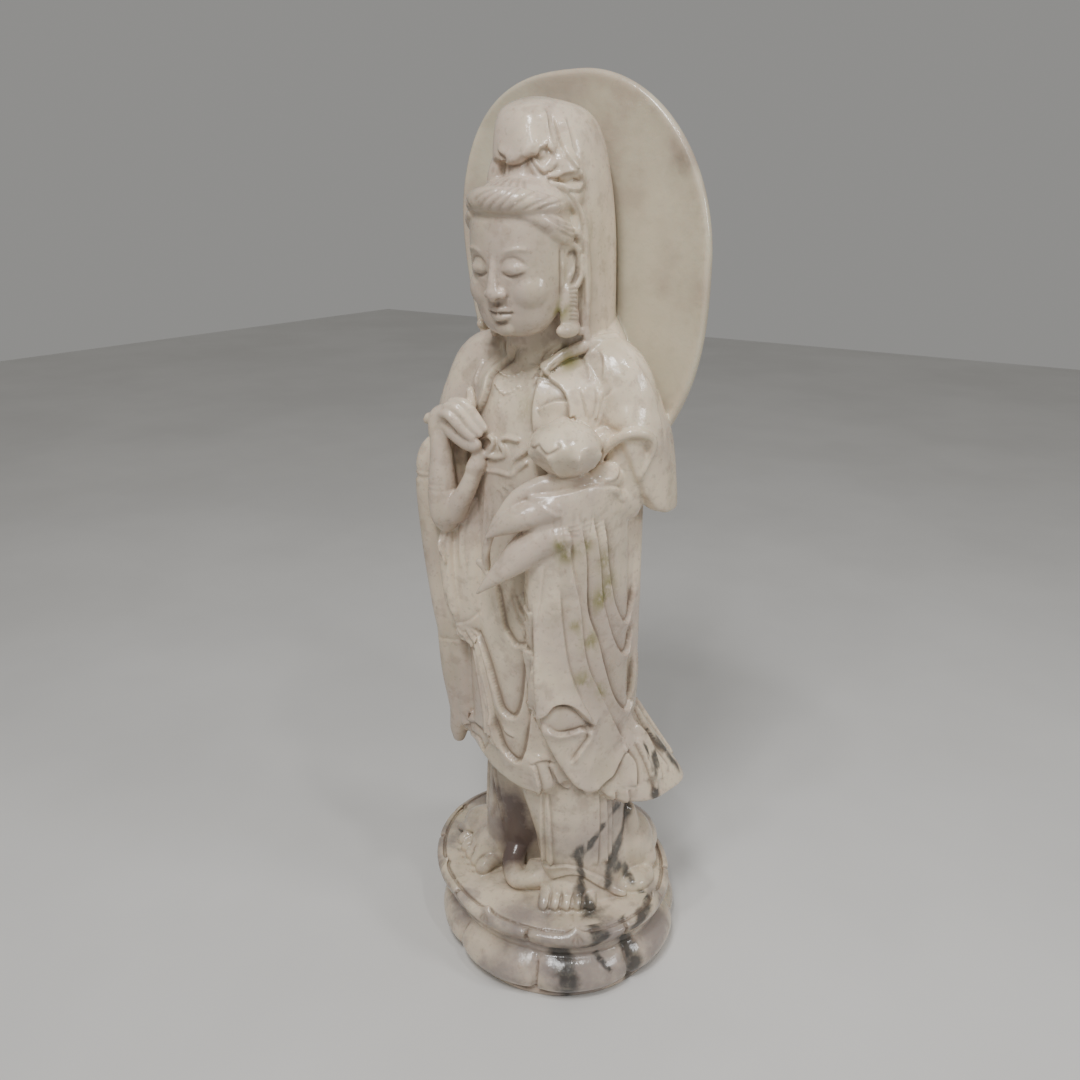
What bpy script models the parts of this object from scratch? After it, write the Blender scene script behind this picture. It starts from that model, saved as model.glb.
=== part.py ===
"""A standing guanyin carved from one block of veined white stone.

The block holds a lotus plinth, the robed figure, and the leaf-shaped halo behind the head.
Every form below is a closed shape in millimetres. The forms are fused into one stone, the
folds are cut into it as strokes, and the mesh is thinned to the faceted solid.
The figure faces -Y, its left hand is at +X, and the plinth stands on z = 0.
"""

import math

import bpy
import numpy as np
from mathutils import Matrix, Vector
from mathutils.bvhtree import BVHTree

# Driving dimensions, in millimetres and degrees.
HEIGHT = 1200
PLINTH_TOP = 108
PETALS = 8
UPPER_OVAL = {"middle": (-12, 24), "wide": 193, "deep": 169, "turn": -19}
LOWER_OVAL = {"middle": (3, 23), "wide": 172, "deep": 163, "turn": -45}
HEM = 318
WAIST = 745
SLEEVE_TURN = -25.5
HALO_HALF_WIDTH = 181
HALO_MIDDLE = 985
HALO_BACK = 78
HALO_LEAN = 2
HEAD_AT = (4, -50, 996)
HEAD_NOD = math.radians(11)

# Making sizes.
VOXEL = 3.4
TRIANGLES = 9700
UNDERSIDE_BAND = 1.4
METRES = 0.001

for old in list(bpy.data.objects):
    bpy.data.objects.remove(old)

forms = []


def curve_through(points, per_span=6):
    """A smooth line through the points, which may carry radii or other columns beside x, y, z."""
    p = np.asarray(points, float)
    if len(p) < 3:
        t = np.linspace(0, 1, per_span * 2 + 1)[:, None]
        return p[0] * (1 - t) + p[-1] * t
    ends = np.vstack([2 * p[0] - p[1], p, 2 * p[-1] - p[-2]])
    line = []
    for a, b, c, d in zip(ends, ends[1:], ends[2:], ends[3:]):
        for t in np.arange(per_span) / per_span:
            line.append(
                0.5 * (2 * b + (c - a) * t + (2 * a - 5 * b + 4 * c - d) * t * t
                       + (3 * b - a - 3 * c + d) * t ** 3)
            )
    return np.array(line + [p[-1]])


def skin(rings):
    """A closed shape from a stack of rings that all have the same number of points."""
    rings = np.asarray(rings, float)
    rows, around, _ = rings.shape
    points = np.vstack([rings.reshape(-1, 3), rings[0].mean(0), rings[-1].mean(0)])
    faces = []
    for i in range(rows - 1):
        for j in range(around):
            k = (j + 1) % around
            faces.append((i * around + j, i * around + k, (i + 1) * around + k, (i + 1) * around + j))
    first, last = rows * around, rows * around + 1
    for j in range(around):
        k = (j + 1) % around
        faces.append((first, k, j))
        faces.append((last, (rows - 1) * around + j, (rows - 1) * around + k))
    return points, faces


def column(keys, around=96, rows=60, outline=None, lift=None):
    """A stack of ovals. Each key is z, centre x, y, half width, depth, squareness and turn in degrees."""
    line = curve_through(keys, max(2, rows // (len(keys) - 1)))
    turn = np.linspace(0, 2 * math.pi, around, endpoint=False)
    c, s = np.cos(turn), np.sin(turn)
    rings = []
    for z, cx, cy, rx, ry, power, spin in line:
        reach = (np.abs(c) ** power + np.abs(s) ** power) ** (-1 / power)
        swell = outline(turn, z) if outline else 1.0
        level = z + (lift(turn, z) if lift else 0.0)
        x, y = rx * c * reach * swell, ry * s * reach * swell
        cs, sn = math.cos(math.radians(spin)), math.sin(math.radians(spin))
        rings.append(np.stack([cx + x * cs - y * sn, cy + x * sn + y * cs,
                               np.broadcast_to(level, (around,))], -1))
    return skin(rings)


def limb(path, around=24, per_span=6, flat=1.0, up=(0, 0, 1)):
    """A round bar with domed ends. Each key is x, y, z and radius; flat squeezes it along up."""
    line = curve_through(path, per_span)
    centre, radius = line[:, :3], np.maximum(line[:, 3], 0.3)
    along = np.gradient(centre, axis=0)
    along /= np.linalg.norm(along, axis=1)[:, None]
    up = np.asarray(up, float)
    rings = []

    def ring(c, t, r):
        side = np.cross(t, up)
        side /= max(np.linalg.norm(side), 1e-6)
        over = np.cross(side, t)
        a = np.linspace(0, 2 * math.pi, around, endpoint=False)[:, None]
        return c + r * np.cos(a) * side + r * flat * np.sin(a) * over

    for k in (0.15, 0.55, 0.85):
        back = radius[0] * math.sqrt(1 - k * k)
        rings.append(ring(centre[0] - along[0] * back, along[0], radius[0] * k))
    rings += [ring(c, t, r) for c, t, r in zip(centre, along, radius)]
    for k in (0.85, 0.55, 0.15):
        ahead = radius[-1] * math.sqrt(1 - k * k)
        rings.append(ring(centre[-1] + along[-1] * ahead, along[-1], radius[-1] * k))
    return skin(rings)


def blob(centre, radii, turn=(0, 0, 0), around=32):
    """An ellipsoid, turned about X, Y and Z in degrees."""
    rings = []
    for lat in np.linspace(-math.pi / 2, math.pi / 2, around // 2 + 1)[1:-1]:
        a = np.linspace(0, 2 * math.pi, around, endpoint=False)
        rings.append(np.stack([np.cos(lat) * np.cos(a), np.cos(lat) * np.sin(a),
                               np.full(around, math.sin(lat))], -1))
    points, faces = skin(rings)
    points[-2], points[-1] = (0, 0, -1), (0, 0, 1)
    spin = np.eye(3)
    for angle, axis in zip(turn, "XYZ"):
        spin = np.array(Matrix.Rotation(math.radians(angle), 3, axis)) @ spin
    return (points * radii) @ spin.T + centre, faces


def sheet(rows, inward):
    """A sheet of cloth. Each row is a line of points on its outer face; inward points into the stone."""
    rows = [curve_through(row, 6) for row in rows]
    grid = curve_through(np.array(rows).reshape(len(rows), -1), 5).reshape(-1, len(rows[0]), 3)
    inward = np.asarray(inward, float)
    rings = []
    for k, row in enumerate(grid):
        edge = min(k, len(grid) - 1 - k, 2) / 2
        deep = inward * (0.45 + 0.55 * math.sin(edge * math.pi / 2))
        fade = np.minimum(np.minimum(np.arange(len(row)), np.arange(len(row))[::-1]) / 2.0, 1.0)[:, None]
        tuck = 2 - np.sin(fade * math.pi / 2) - math.sin(edge * math.pi / 2)
        face = row + inward * tuck * 0.3
        rings.append(np.vstack([face, (row + deep + inward * 0.3)[::-1]]))
    return skin(rings)


# Lotus plinth: eight plump petals on a thin base, a narrow ledge, and eight petals with pointed rims.


def petal_place(turn):
    """How far a direction lies from the middle of its petal, from 0 to 1 at the valley."""
    wide = 2 * math.pi / PETALS
    return np.abs(((turn + math.pi / 2 + wide / 2) % wide) / wide * 2 - 1)


def oval_reach(turn, oval):
    a = turn - math.radians(oval["turn"])
    return 1 / np.sqrt((np.cos(a) / oval["wide"]) ** 2 + (np.sin(a) / oval["deep"]) ** 2)


def tier(levels, oval, smooth=3):
    """A tier of petals. Each level is height, inset from the oval, swell of the petal's middle, and
    how far its tip lifts and leans in."""
    turn = np.linspace(0, 2 * math.pi, 384, endpoint=False)
    across = petal_place(turn)
    tip = np.exp(-(across / 0.12) ** 1.1)
    fold = np.exp(-((1 - across) / 0.045) ** 2)
    x, y = oval["middle"]
    rings = []
    for z, inset, swell, lift, lean in curve_through(levels, smooth):
        radius = oval_reach(turn, oval) - inset + swell * (0.6 - across ** 3 - 0.7 * fold) - lean * tip
        rings.append(np.stack([x + radius * np.cos(turn), y + radius * np.sin(turn),
                               z + lift * tip - 0.25 * lift * fold], -1))
    return skin(rings)


forms += [
    tier([(0, 1, 0, 0, 0), (4, -1, 0, 0, 0), (8, 0, 1, 0, 0), (10, 1, 3, 0, 0), (14, -4, 5, 0, 0),
          (22, -10, 7, 0, 0), (34, -12, 7, 0, 0), (46, -8, 7, 0, 0), (54, -1, 6, 0, 0), (61, 8, 4, 0, 0),
          (66, 20, 0, 0, 0)], LOWER_OVAL),
    tier([(56, 24, 0, 0, 0), (63, 17, 2, 0, 0), (68, 14, 2, 0, 0), (74, 14, 2, 0, 0), (79, 22, 0, 0, 0)],
         UPPER_OVAL),
    tier([(70, 26, 0, 0, 0), (76, 16, 1, 0, 0), (83, 9, 4, 0, 0), (91, 4, 4, 0, 0), (98, 1, 3, 1, 0),
          (103, 0, 1, 6, 4), (106, 3, 0, 9, 7), (108, 8, 0, 9, 6), (108, 10, 0, 6, 4), (104, 12, 0, 1, 1),
          (98, 20, 0, 0, 0)], UPPER_OVAL),
    tier([(84, 20, 0, 0, 0), (104, 11, 0, 0, 0), (PLINTH_TOP, 12, 0, 0, 0), (PLINTH_TOP + 1, 20, 0, 0, 0)],
         UPPER_OVAL),
]

# Inner skirt: hollowed between the legs, and heaped in round folds behind the feet.


def skirt_pleats(turn, z):
    low = np.clip((330 - z) / 120, 0, 1)
    middle, wide = math.radians(248 + 6 * low), 0.23 + 0.10 * low
    hollow = np.exp(-np.abs((turn - middle) / wide) ** 2.4) * low ** 0.7
    return 1 + 0.008 * np.sin(14 * turn) - 0.46 * hollow


forms += [
    column([(PLINTH_TOP - 8, 24, 30, 112, 96, 2.2, 0), (124, 22, 26, 102, 92, 2.2, 0),
            (180, 18, 14, 95, 89, 2.3, 0), (250, 16, 6, 96, 90, 2.3, 0),
            (345, 10, 0, 96, 88, 2.3, 0)], around=192, rows=64, outline=skirt_pleats),
    limb([(-56, -16, 330, 32), (-58, -18, 250, 33), (-60, -20, 180, 33), (-62, -20, 126, 34)]),
    blob((94, 60, 150), (44, 42, 54), (0, 12, 20)),
    blob((118, 40, 114), (36, 38, 18), (0, 0, 30)),
    limb([(104, 48, 215, 14), (108, 52, 180, 18), (112, 62, 150, 20)]),
    limb([(118, 60, 178, 14), (124, 66, 150, 17), (126, 70, 126, 18)]),
    limb([(96, 30, 190, 12), (102, 34, 160, 14), (110, 34, 132, 15)]),
    blob((70, 92, 134), (60, 50, 46)),
    blob((-62, 84, 124), (76, 54, 34)),
    blob((-104, 28, 114), (36, 42, 18)),
    limb([(-100, 40, 128, 16), (-122, 16, 120, 13), (-134, -10, 116, 10)]),
]

# Robe: the main mass from the hem to the neck. The hem swings out in a train at the back left.


def hem_drop(turn, z):
    """How far the hem falls below its front height round the back left."""
    away = np.angle(np.exp(1j * (turn - math.radians(28))))
    low = np.clip((420 - z) / 110, 0, 1) ** 1.5
    peak = np.exp(-((turn - math.radians(244)) / 0.20) ** 2)
    lobe = np.exp(-((turn - math.radians(292)) / 0.26) ** 4)
    return 6 + (18 * peak - 24 * lobe - 62 * np.exp(-(away / 0.85) ** 4)) * low


def train_swing(turn, z):
    away = np.angle(np.exp(1j * (turn - math.radians(35))))
    low = np.clip((450 - z) / 130, 0, 1)
    ripple = 0.045 * np.cos(13 * away) * low
    return 1 + (0.95 * low ** 1.6 + ripple) * np.exp(-(away / 0.60) ** 2)


forms += [
    column([(HEM, 8, -12, 80, 74, 2.1, 0), (HEM + 2, 8, -12, 94, 88, 2.1, 0),
            (HEM + 8, 8, -12, 100, 94, 2.1, 0), (358, 4, -13, 103, 95, 2.1, 0),
            (430, 0, -14, 103, 93, 2.1, 0), (520, -2, -15, 102, 91, 2.1, 0),
            (640, -2, -13, 101, 86, 2.1, 0), (WAIST, -1, -10, 98, 84, 2.2, 0),
            (800, 0, -6, 104, 78, 2.3, 0), (838, 0, 0, 108, 72, 2.3, 0), (862, 0, 8, 98, 62, 2.2, 0),
            (884, 0, 16, 68, 50, 2.0, 0), (900, 0, 20, 44, 40, 2.0,
                                           0)], around=192, rows=132, outline=train_swing, lift=hem_drop),
    sheet([[(-84, -84, 372), (-50, -99, 374), (-10, -107, 376), (30, -107, 374), (62, -101, 368)],
           [(-82, -82, 352), (-50, -98, 350), (-12, -107, 350), (30, -108, 346), (66, -101, 346)],
           [(-72, -82, 342), (-44, -97, 332), (-8, -106, 324), (32, -108, 322), (68, -99, 326)],
           [(-58, -82, 338), (-34, -94, 322), (-2, -101, 310), (34, -104, 305), (64, -97, 312)]], (0, 18,
                                                                                                   2)),
    limb([(42, -104, 372, 5), (58, -104, 368, 7), (66, -101, 350, 8), (68, -99, 330, 8),
          (60, -100, 315, 6)]),
]

# Left sleeve: a long bag of cloth from the forearm to the hem, with its front edge clear of the robe.


def hanging_cloth(middle, spin, thick, length, square, foot, top, rows=90, around=160):
    """A slab of hanging cloth. foot and top give its lower and upper edge along its length."""
    turn = np.linspace(0, 2 * math.pi, around, endpoint=False)
    c, s = np.cos(turn), np.sin(turn)
    reach = (np.abs(c) ** square + np.abs(s) ** square) ** (-1 / square)
    cs, sn = math.cos(math.radians(spin)), math.sin(math.radians(spin))
    rings = []
    for rise in (1 - np.cos(np.linspace(0, math.pi, rows))) / 2:
        end = min(rise, 1 - rise)
        soft = min(1.0, 0.55 + 0.45 * math.sqrt(max(end, 0) / 0.02)) if end < 0.02 else 1.0
        x, y = thick * c * reach * soft, length * s * reach * (0.5 + 0.5 * soft)
        z = foot(y) + (top(y) - foot(y)) * rise
        rings.append(np.stack([middle[0] + x * cs - y * sn, middle[1] + x * sn + y * cs, z], -1))
    return skin(rings)


forms += [
    hanging_cloth((61, -12), SLEEVE_TURN, 38, 74, 5.0,
                  foot=lambda y: np.interp(y, [-74, -20, 20, 74], [350, 322, 296, 272]),
                  top=lambda y: np.interp(y, [-74, -40, 0, 74], [728, 736, 736, 698])),
    sheet([[(62, -132, 734), (84, -119, 735), (106, -104, 740), (119, -84, 744), (126, -56, 744),
            (126, -26, 738)],
           [(60, -131, 690), (82, -116, 690), (104, -96, 692), (117, -68, 694), (122, -38, 694),
            (122, -4, 690)],
           [(57, -127, 640), (78, -112, 640), (99, -88, 640), (112, -58, 640), (118, -28, 640),
            (119, 4, 640)],
           [(55, -125, 590), (76, -109, 590), (96, -82, 590), (109, -52, 590), (116, -22, 590),
            (118, 10, 590)],
           [(56, -123, 520), (77, -105, 520), (96, -79, 520), (108, -49, 520), (115, -18, 520),
            (118, 14, 520)],
           [(59, -119, 465), (78, -101, 465), (96, -76, 465), (108, -46, 465), (116, -16, 465),
            (120, 14, 465)],
           [(65, -113, 430), (82, -97, 430), (98, -73, 430), (109, -45, 430), (117, -16, 430),
            (121, 12, 430)],
           [(71, -105, 393), (84, -92, 392), (99, -71, 392), (110, -45, 392), (118, -18, 392),
            (123, 8, 392)],
           [(81, -92, 355), (90, -82, 354), (102, -65, 352), (112, -43, 352), (119, -20, 354),
            (125, 4, 358)],
           [(92, -76, 326), (98, -69, 323), (106, -58, 321), (114, -43, 321), (119, -28, 324),
            (123, -12, 332)],
           [(100, -64, 311), (103, -60, 309), (107, -55, 308), (111, -48, 308), (115, -40, 310),
            (118, -32, 314)]],
          (-14, 10, 0)),
]

# Right sleeve: two long rolls from the raised elbow, with a flat length of cloth behind them.

forms += [
    limb([(-112, -78, 772, 10), (-126, -88, 752, 15), (-129, -90, 716, 18), (-124, -89, 640, 19),
          (-117, -81, 540, 19), (-114, -73, 486, 18)]),
    limb([(-119, -79, 520, 14), (-115, -71, 440, 18), (-114, -61, 370, 16), (-121, -56, 332, 14),
          (-124, -54, 314, 10)]),
    limb([(-92, -100, 668, 9), (-90, -106, 620, 9), (-82, -105, 560, 8.5), (-72, -101, 518, 7)]),
    column([(500, -62, -68, 14, 18, 2.0, 0), (510, -64, -70, 25, 32, 2.4, 0),
            (560, -66, -70, 28, 36, 2.6, 0), (620, -68, -68, 28, 37, 2.6, 0),
            (700, -70, -58, 24, 36, 2.4, 0)], rows=40),
    column([(330, -98, -40, 18, 20, 2.0, 0), (360, -98, -40, 26, 34, 2.0, 0),
            (460, -102, -48, 26, 40, 2.0, 0), (580, -106, -56, 26, 42, 2.0, 0),
            (700, -106, -58, 26, 42, 2.0, 0), (780, -100, -40, 22, 36, 2.0, 0)],
           rows=30),
]

# Mantle: over the shoulders, in an arch over the left forearm, with a flap that ends in a corner.

forms += [
    limb([(-52, 6, 880, 28), (-92, -8, 862, 36), (-106, -16, 826, 40), (-112, -34, 776, 38),
          (-104, -52, 700, 24)]),
    limb([(56, 8, 882, 30), (92, 4, 860, 38), (108, 4, 820, 39), (110, 4, 768, 38), (104, 0, 706, 30)]),
    limb([(104, 0, 716, 30), (96, -36, 712, 30), (86, -72, 708, 24)]),
    sheet([[(108, -34, 838), (126, -24, 842), (138, 0, 846), (136, 34, 846)],
           [(114, -38, 808), (136, -32, 812), (149, -2, 816), (142, 44, 816)],
           [(142, -29, 796), (149, -18, 794), (155, 8, 790), (149, 52, 790)],
           [(150, -10, 772), (154, -2, 770), (157, 20, 765), (152, 58, 760)],
           [(142, -18, 746), (149, -4, 742), (156, 22, 736), (154, 62, 730)],
           [(146, -6, 716), (150, 6, 710), (156, 28, 702), (157, 62, 698)],
           [(148, 18, 692), (152, 26, 689), (156, 38, 686), (158, 56, 688)]], (-15, 3, 0)),
    sheet([[(126, -38, 796), (134, -34, 798), (143, -26, 798)],
           [(131, -34, 776), (139, -28, 776), (148, -14, 776)],
           [(135, -27, 756), (141, -23, 754), (148, -12, 752)],
           [(140, -20, 736), (143, -17, 735), (147, -8, 732)]], (-13, 6, 0)),
    limb([(95, -40, 756, 3), (104, -40, 776, 5), (119, -40, 791, 6), (134, -36, 800, 6), (145, -26, 800, 6),
          (151, -14, 793, 5.5), (153, -9, 783, 5), (149, -10, 768, 4), (142, -18, 747, 4)]),
    limb([(28, -58, 868, 2.5), (36, -54, 875, 5), (48, -42, 885, 7), (62, -26, 892, 8), (76, -8, 898, 8),
          (84, 10, 900, 8)]),
    limb([(-38, -40, 874, 4), (-50, -24, 885, 8), (-60, -6, 890, 9)]),
    blob((106, -38, 742), (20, 36, 20)),
]

# Halo: an upright leaf-shaped slab, hollowed inside a raised rim, fuller on its right.


def halo_half(square, low_start, low_reach, low_power, side):
    """One side of the outline, from the top of the halo down into the robe."""
    t = np.linspace(0, math.pi / 2, 60)
    x, rise = np.cos(t[::-1]) ** (2 / square), np.sin(t[::-1]) ** (2 / square)
    top = np.stack([x, HALO_MIDDLE + (HEIGHT - HALO_MIDDLE) * rise], -1)
    down = np.stack([np.ones(60), np.linspace(HALO_MIDDLE, 700, 61)[1:]], -1)
    line = np.vstack([top, down])
    line[:, 0] *= 1 - (np.clip(low_start - line[:, 1], 0, None) / low_reach) ** low_power
    line[:, 0] = HALO_LEAN + side * HALO_HALF_WIDTH * line[:, 0]
    return line


def halo():
    left = halo_half(2.0, HALO_MIDDLE, 326, 2.83, 1)
    right = halo_half(2.8, 1060, 510, 1.8, -1)
    outline = np.vstack([left[::-1], right[1:]])
    middle = np.array([HALO_LEAN, HALO_MIDDLE])
    rings = []
    for share, y in ((0.02, 62), (0.45, 60.5), (0.75, 57), (0.88, 53.5), (0.93, 51.5), (0.955, 50),
                     (0.975, 49), (0.99, 50), (1.0, 53), (1.0, 58), (0.985, 64), (0.95, 68),
                     (0.7, HALO_BACK - 2), (0.02, HALO_BACK)):
        ring = middle + (outline - middle) * share
        rings.append(np.stack([ring[:, 0], np.full(len(ring), y), ring[:, 1]], -1))
    return skin(rings)


forms += [
    halo(),
    column([(560, 0, 20, 70, 50, 2.4, 0), (700, 0, 24, 96, 52, 2.4, 0), (800, 0, 24, 104, 54, 2.4, 0),
            (880, 0, 30, 90, 46, 2.4, 0), (930, 0, 40, 60, 34, 2.2, 0)], rows=24),
]
cloth_count = len(forms)

# Veil: a hood over the topknot with a round front lobe and ruffles, hanging straight behind the ears.


def lobe_edge(turn, z):
    low = np.clip((1122 - z) / 16, 0, 1)
    return (7 * np.exp(-((turn - math.radians(318)) / 0.35) ** 2)
            - 3 * np.exp(-((turn - math.radians(268)) / 0.5) ** 2)) * low


forms += [
    column([(868, 1, 30, 64, 34, 2.8, 0), (884, 1, 18, 68, 50, 3.2, 0), (930, 1, 10, 69, 52, 3.6, 0),
            (1000, 0, 8, 69, 54, 3.6, 0), (1050, 1, 4, 68, 56, 3.0, 0), (1085, 3, -2, 64, 58, 2.7, 0),
            (1115, 5, -8, 58, 60, 2.5, 0), (1140, 4, -10, 49, 54, 2.4, 0), (1154, 2, -10, 36, 42, 2.2, 0),
            (1162, 0, -10, 14, 20, 2.0, 0)],
           rows=72),
    column([(1099, 4, -56, 22, 18, 2.4, 0), (1103, 4, -58, 30, 27, 2.5, 0), (1114, 4, -58, 33, 30, 2.6, 0),
            (1132, 3, -52, 34, 33, 2.6, 0), (1148, 2, -42, 32, 32, 2.4, 0), (1157, 1, -34, 25, 27, 2.2, 0),
            (1163, 0, -28, 12, 14, 2.0, 0)], rows=48, lift=lobe_edge),
    sheet([[(16, -60, 1148), (26, -54, 1147), (35, -42, 1144)],
           [(22, -68, 1128), (35, -60, 1128), (43, -44, 1126)],
           [(23, -72, 1110), (39, -64, 1108), (48, -46, 1106)],
           [(22, -75, 1098), (34, -71, 1090), (50, -54, 1093)],
           [(30, -73, 1089), (36, -70, 1083), (52, -52, 1083)]], (-8, 14, 0)),
    sheet([[(33, -44, 1145), (42, -34, 1142), (48, -18, 1138)],
           [(40, -50, 1116), (51, -38, 1114), (58, -16, 1110)],
           [(44, -56, 1096), (59, -40, 1095), (64, -14, 1092)],
           [(43, -63, 1083), (61, -38, 1081), (67, -14, 1076)]], (-14, 8, 0)),
    limb([(24, -54, 1149, 5), (33, -58, 1134, 5), (38, -60, 1120, 5), (42, -60, 1109, 5),
          (43, -59, 1103, 4)]),
    limb([(36, -42, 1145, 5), (43, -42, 1128, 5), (48, -42, 1114, 5), (54, -39, 1098, 5),
          (60, -33, 1085, 5), (62, -29, 1074, 4)]),
    limb([(20, -75, 1103, 3.5), (25, -75, 1094, 4), (31, -73, 1088, 4), (37, -69, 1088, 4),
          (41, -64, 1095, 4), (43, -59, 1103, 4)]),
    limb([(35, -72, 1078, 3.5), (44, -64, 1081, 4), (51, -55, 1083, 4), (58, -44, 1084, 4.5),
          (62, -34, 1080, 4.5), (61, -30, 1072, 4)]),
    limb([(47, -64, 1068, 4), (54, -54, 1066, 5), (59, -42, 1068, 5), (62, -32, 1071, 4)]),
    limb([(18, -75, 1104, 3.5), (26, -75, 1090, 4), (36, -72, 1077, 4), (48, -63, 1066, 4.5),
          (57, -51, 1056, 5), (62, -40, 1044, 5), (65, -34, 1028, 5), (67, -30, 1000, 5), (67, -28, 960, 5),
          (66, -27, 925, 5), (67, -24, 904, 5)]),
    limb([(-16, -66, 1112, 8), (-22, -71, 1096, 10), (-26, -74, 1082, 10), (-28, -76, 1071, 8)], flat=0.9),
    limb([(-64, -30, 1030, 6), (-66, -30, 960, 6), (-66, -27, 900, 6)]),
    blob((42, -44, 1092), (20, 20, 22), (0, 0, 25)),
    blob((58, -28, 1026), (12, 18, 30)),
    blob((-58, -28, 1026), (12, 18, 30)),
    limb([(-46, -52, 1064, 6), (-58, -42, 1046, 6), (-64, -32, 1028, 6)]),
    blob((52, -38, 1060), (14, 18, 18)),
    blob((-46, -38, 1060), (14, 18, 18)),
]

# Neck and head, in the head's own upright frame with the face towards -Y, nodding forward.


def in_head(points):
    """From the head's own upright frame to its place on the figure."""
    c, s = math.cos(HEAD_NOD), math.sin(HEAD_NOD)
    return np.asarray(points, float) @ np.array([[1, 0, 0], [0, c, s], [0, -s, c]]) + HEAD_AT


def head(shape):
    points, faces = shape
    return in_head(points), faces


levels = [(-81, 16, -52, -26), (-75, 34, -62, -16), (-62, 46, -67.5, -4), (-44, 53, -69.5, 10),
          (-22, 56, -71, 30), (0, 57, -71.5, 45), (25, 56, -71.5, 52), (50, 53, -67, 52), (70, 44, -52, 45),
          (86, 20, -25, 20)]
forms += [
    limb([(0, -6, 850, 50), (0, -16, 886, 42), (0, -28, 930, 40)], around=40),
    head(column([(z, 0, (front + back) / 2, half, (back - front) / 2, 2.25, 0) for z, half, front,
                 back in levels],
                rows=72)),
    head(limb([(0, -68, 18, 3.6), (0, -71.5, 4, 4.4), (0, -76, -12, 5.8), (0, -79, -22, 7.4),
               (0, -78, -26, 7)])),
    head(blob((0, -62, -66), (15, 10, 11))),
]
for side in (-1, 1):
    forms += [
        head(blob((side * 8.5, -73, -25), (6.5, 7.5, 5.5))),
        head(blob((side * 22, -60, 1), (16.5, 11.5, 10), (0, side * 6, side * 12))),
        head(blob((side * 26, -46, -26), (26, 23, 26))),
        head(limb([(side * 9, -69, 16, 2.5), (side * 22, -67, 22, 3), (side * 36, -59, 21, 3),
                   (side * 45, -47, 12, 2)],
                  flat=0.8)),
    ]
forms += [
    head(limb([(-18, -65, -46.5, 1.6), (-10, -69, -44.2, 3.2), (-4, -72, -42.8, 3.9),
               (0, -71.6, -43.6, 3.6), (4, -72, -42.8, 3.9), (10, -69, -44.2, 3.2),
               (18, -65, -46.5, 1.6)])),
    head(limb([(-13, -66.5, -50, 2.6), (-6.5, -70, -51.5, 4.3), (0, -71.5, -52, 5), (6.5, -70, -51.5, 4.3),
               (13, -66.5, -50, 2.6)])),
]

# Hair: a roll across the brow, a sweep over each temple, and the topknot under the hood.

forms += [
    head(limb([(-52, -14, 58, 8), (-42, -34, 64, 11), (-24, -51, 70, 12.5), (0, -59, 73, 13.5),
               (24, -55, 71, 13.5), (42, -42, 66, 12), (53, -22, 60, 9)], flat=1.05)),
    head(blob((0, -6, 58), (57, 58, 32))),
    limb([(2, -58, 1056, 36), (5, -60, 1072, 28), (6, -62, 1088, 22), (6, -62, 1108, 21)], around=40),
]
for side in (-1, 1):
    forms += [
        head(limb([(side * 36, -50, 56, 6), (side * 45, -38, 48, 10), (side * 50, -22, 38, 13),
                   (side * 52, -4, 26, 13)])),
        head(limb([(side * 51, -28, 34, 8), (side * 56, -12, 24, 8)])),
    ]

# Ears: a curled rim and a long lobe that ends in a leaf-shaped drop.

for side in (-1, 1):
    forms += [
        limb([(side * 57, -68, 1002, 3.4), (side * 58, -65, 1014, 4), (side * 61, -55, 1021, 4.4),
              (side * 64, -43, 1019, 4.6), (side * 66, -34, 1006, 4.6), (side * 66, -34, 988, 4.6),
              (side * 64, -39, 972, 4.8), (side * 62, -46, 960, 5)]),
        limb([(side * 58, -58, 1006, 2.8), (side * 61, -50, 1009, 3.2), (side * 63, -43, 1002, 3.4),
              (side * 62, -44, 988, 3.4), (side * 60, -51, 976, 3.2), (side * 58, -59, 972, 3)]),
        blob((side * 57, -50, 986), (5, 17, 32), (0, 0, -side * 12)),
        blob((side * 58, -67, 986), (4.5, 4.5, 8)),
        blob((side * 58, -52, 950), (8, 15, 24), (0, 0, -side * 12)),
        blob((side * 59, -50, 930), (7.5, 14, 16), (0, 0, -side * 12)),
        blob((side * 60, -50, 914), (7, 14, 8), (0, 0, -side * 12)),
        limb([(side * 60, -40, 920, 6), (side * 63, -33, 909, 3)]),
    ]

# Right arm: a bare forearm raised from the elbow, the hand folded in blessing.

forms += [
    limb([(-92, -97, 662, 13), (-89, -106, 678, 20), (-91, -109, 711, 19), (-92, -108, 750, 15),
          (-94, -108, 784, 11.5)]),
    limb([(-98, -108, 784, 11), (-94, -108, 804, 12), (-82, -106, 812, 11)]),
    blob((-70, -102, 806), (17, 10, 14), (0, 35, 0)),
    limb([(-76, -107, 684, 17), (-61, -109, 703, 13.5), (-50, -106, 724, 11.5), (-43, -100, 748, 10.5),
          (-41, -97, 762, 9)]),
    limb([(-45, -101, 742, 12.2), (-42, -99, 750, 12.2)]),
    limb([(-74, -106, 825, 5.6), (-57, -104, 825, 6), (-40, -100, 807, 5.8), (-31, -98, 796, 5)]),
    limb([(-78, -111, 819, 5.8), (-62, -110, 818, 6.2), (-45, -106, 800, 6), (-35, -103, 790, 5)]),
    limb([(-84, -114, 811, 5.8), (-70, -116, 810, 6.2), (-54, -112, 794, 6), (-42, -109, 784, 5)]),
    limb([(-86, -104, 795, 10), (-68, -104, 784, 10.5), (-52, -104, 777, 10.5), (-42, -104, 775, 9.5)]),
    limb([(-57, -94, 812, 5.4), (-57, -92, 826, 4.8), (-58, -91, 838, 4)]),
    limb([(-98, -108, 800, 8), (-106, -110, 802, 7), (-110, -111, 799, 5.5)]),
]

# Left hand: two long groups of fingers that reach forward and down from the cuff.

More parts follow.
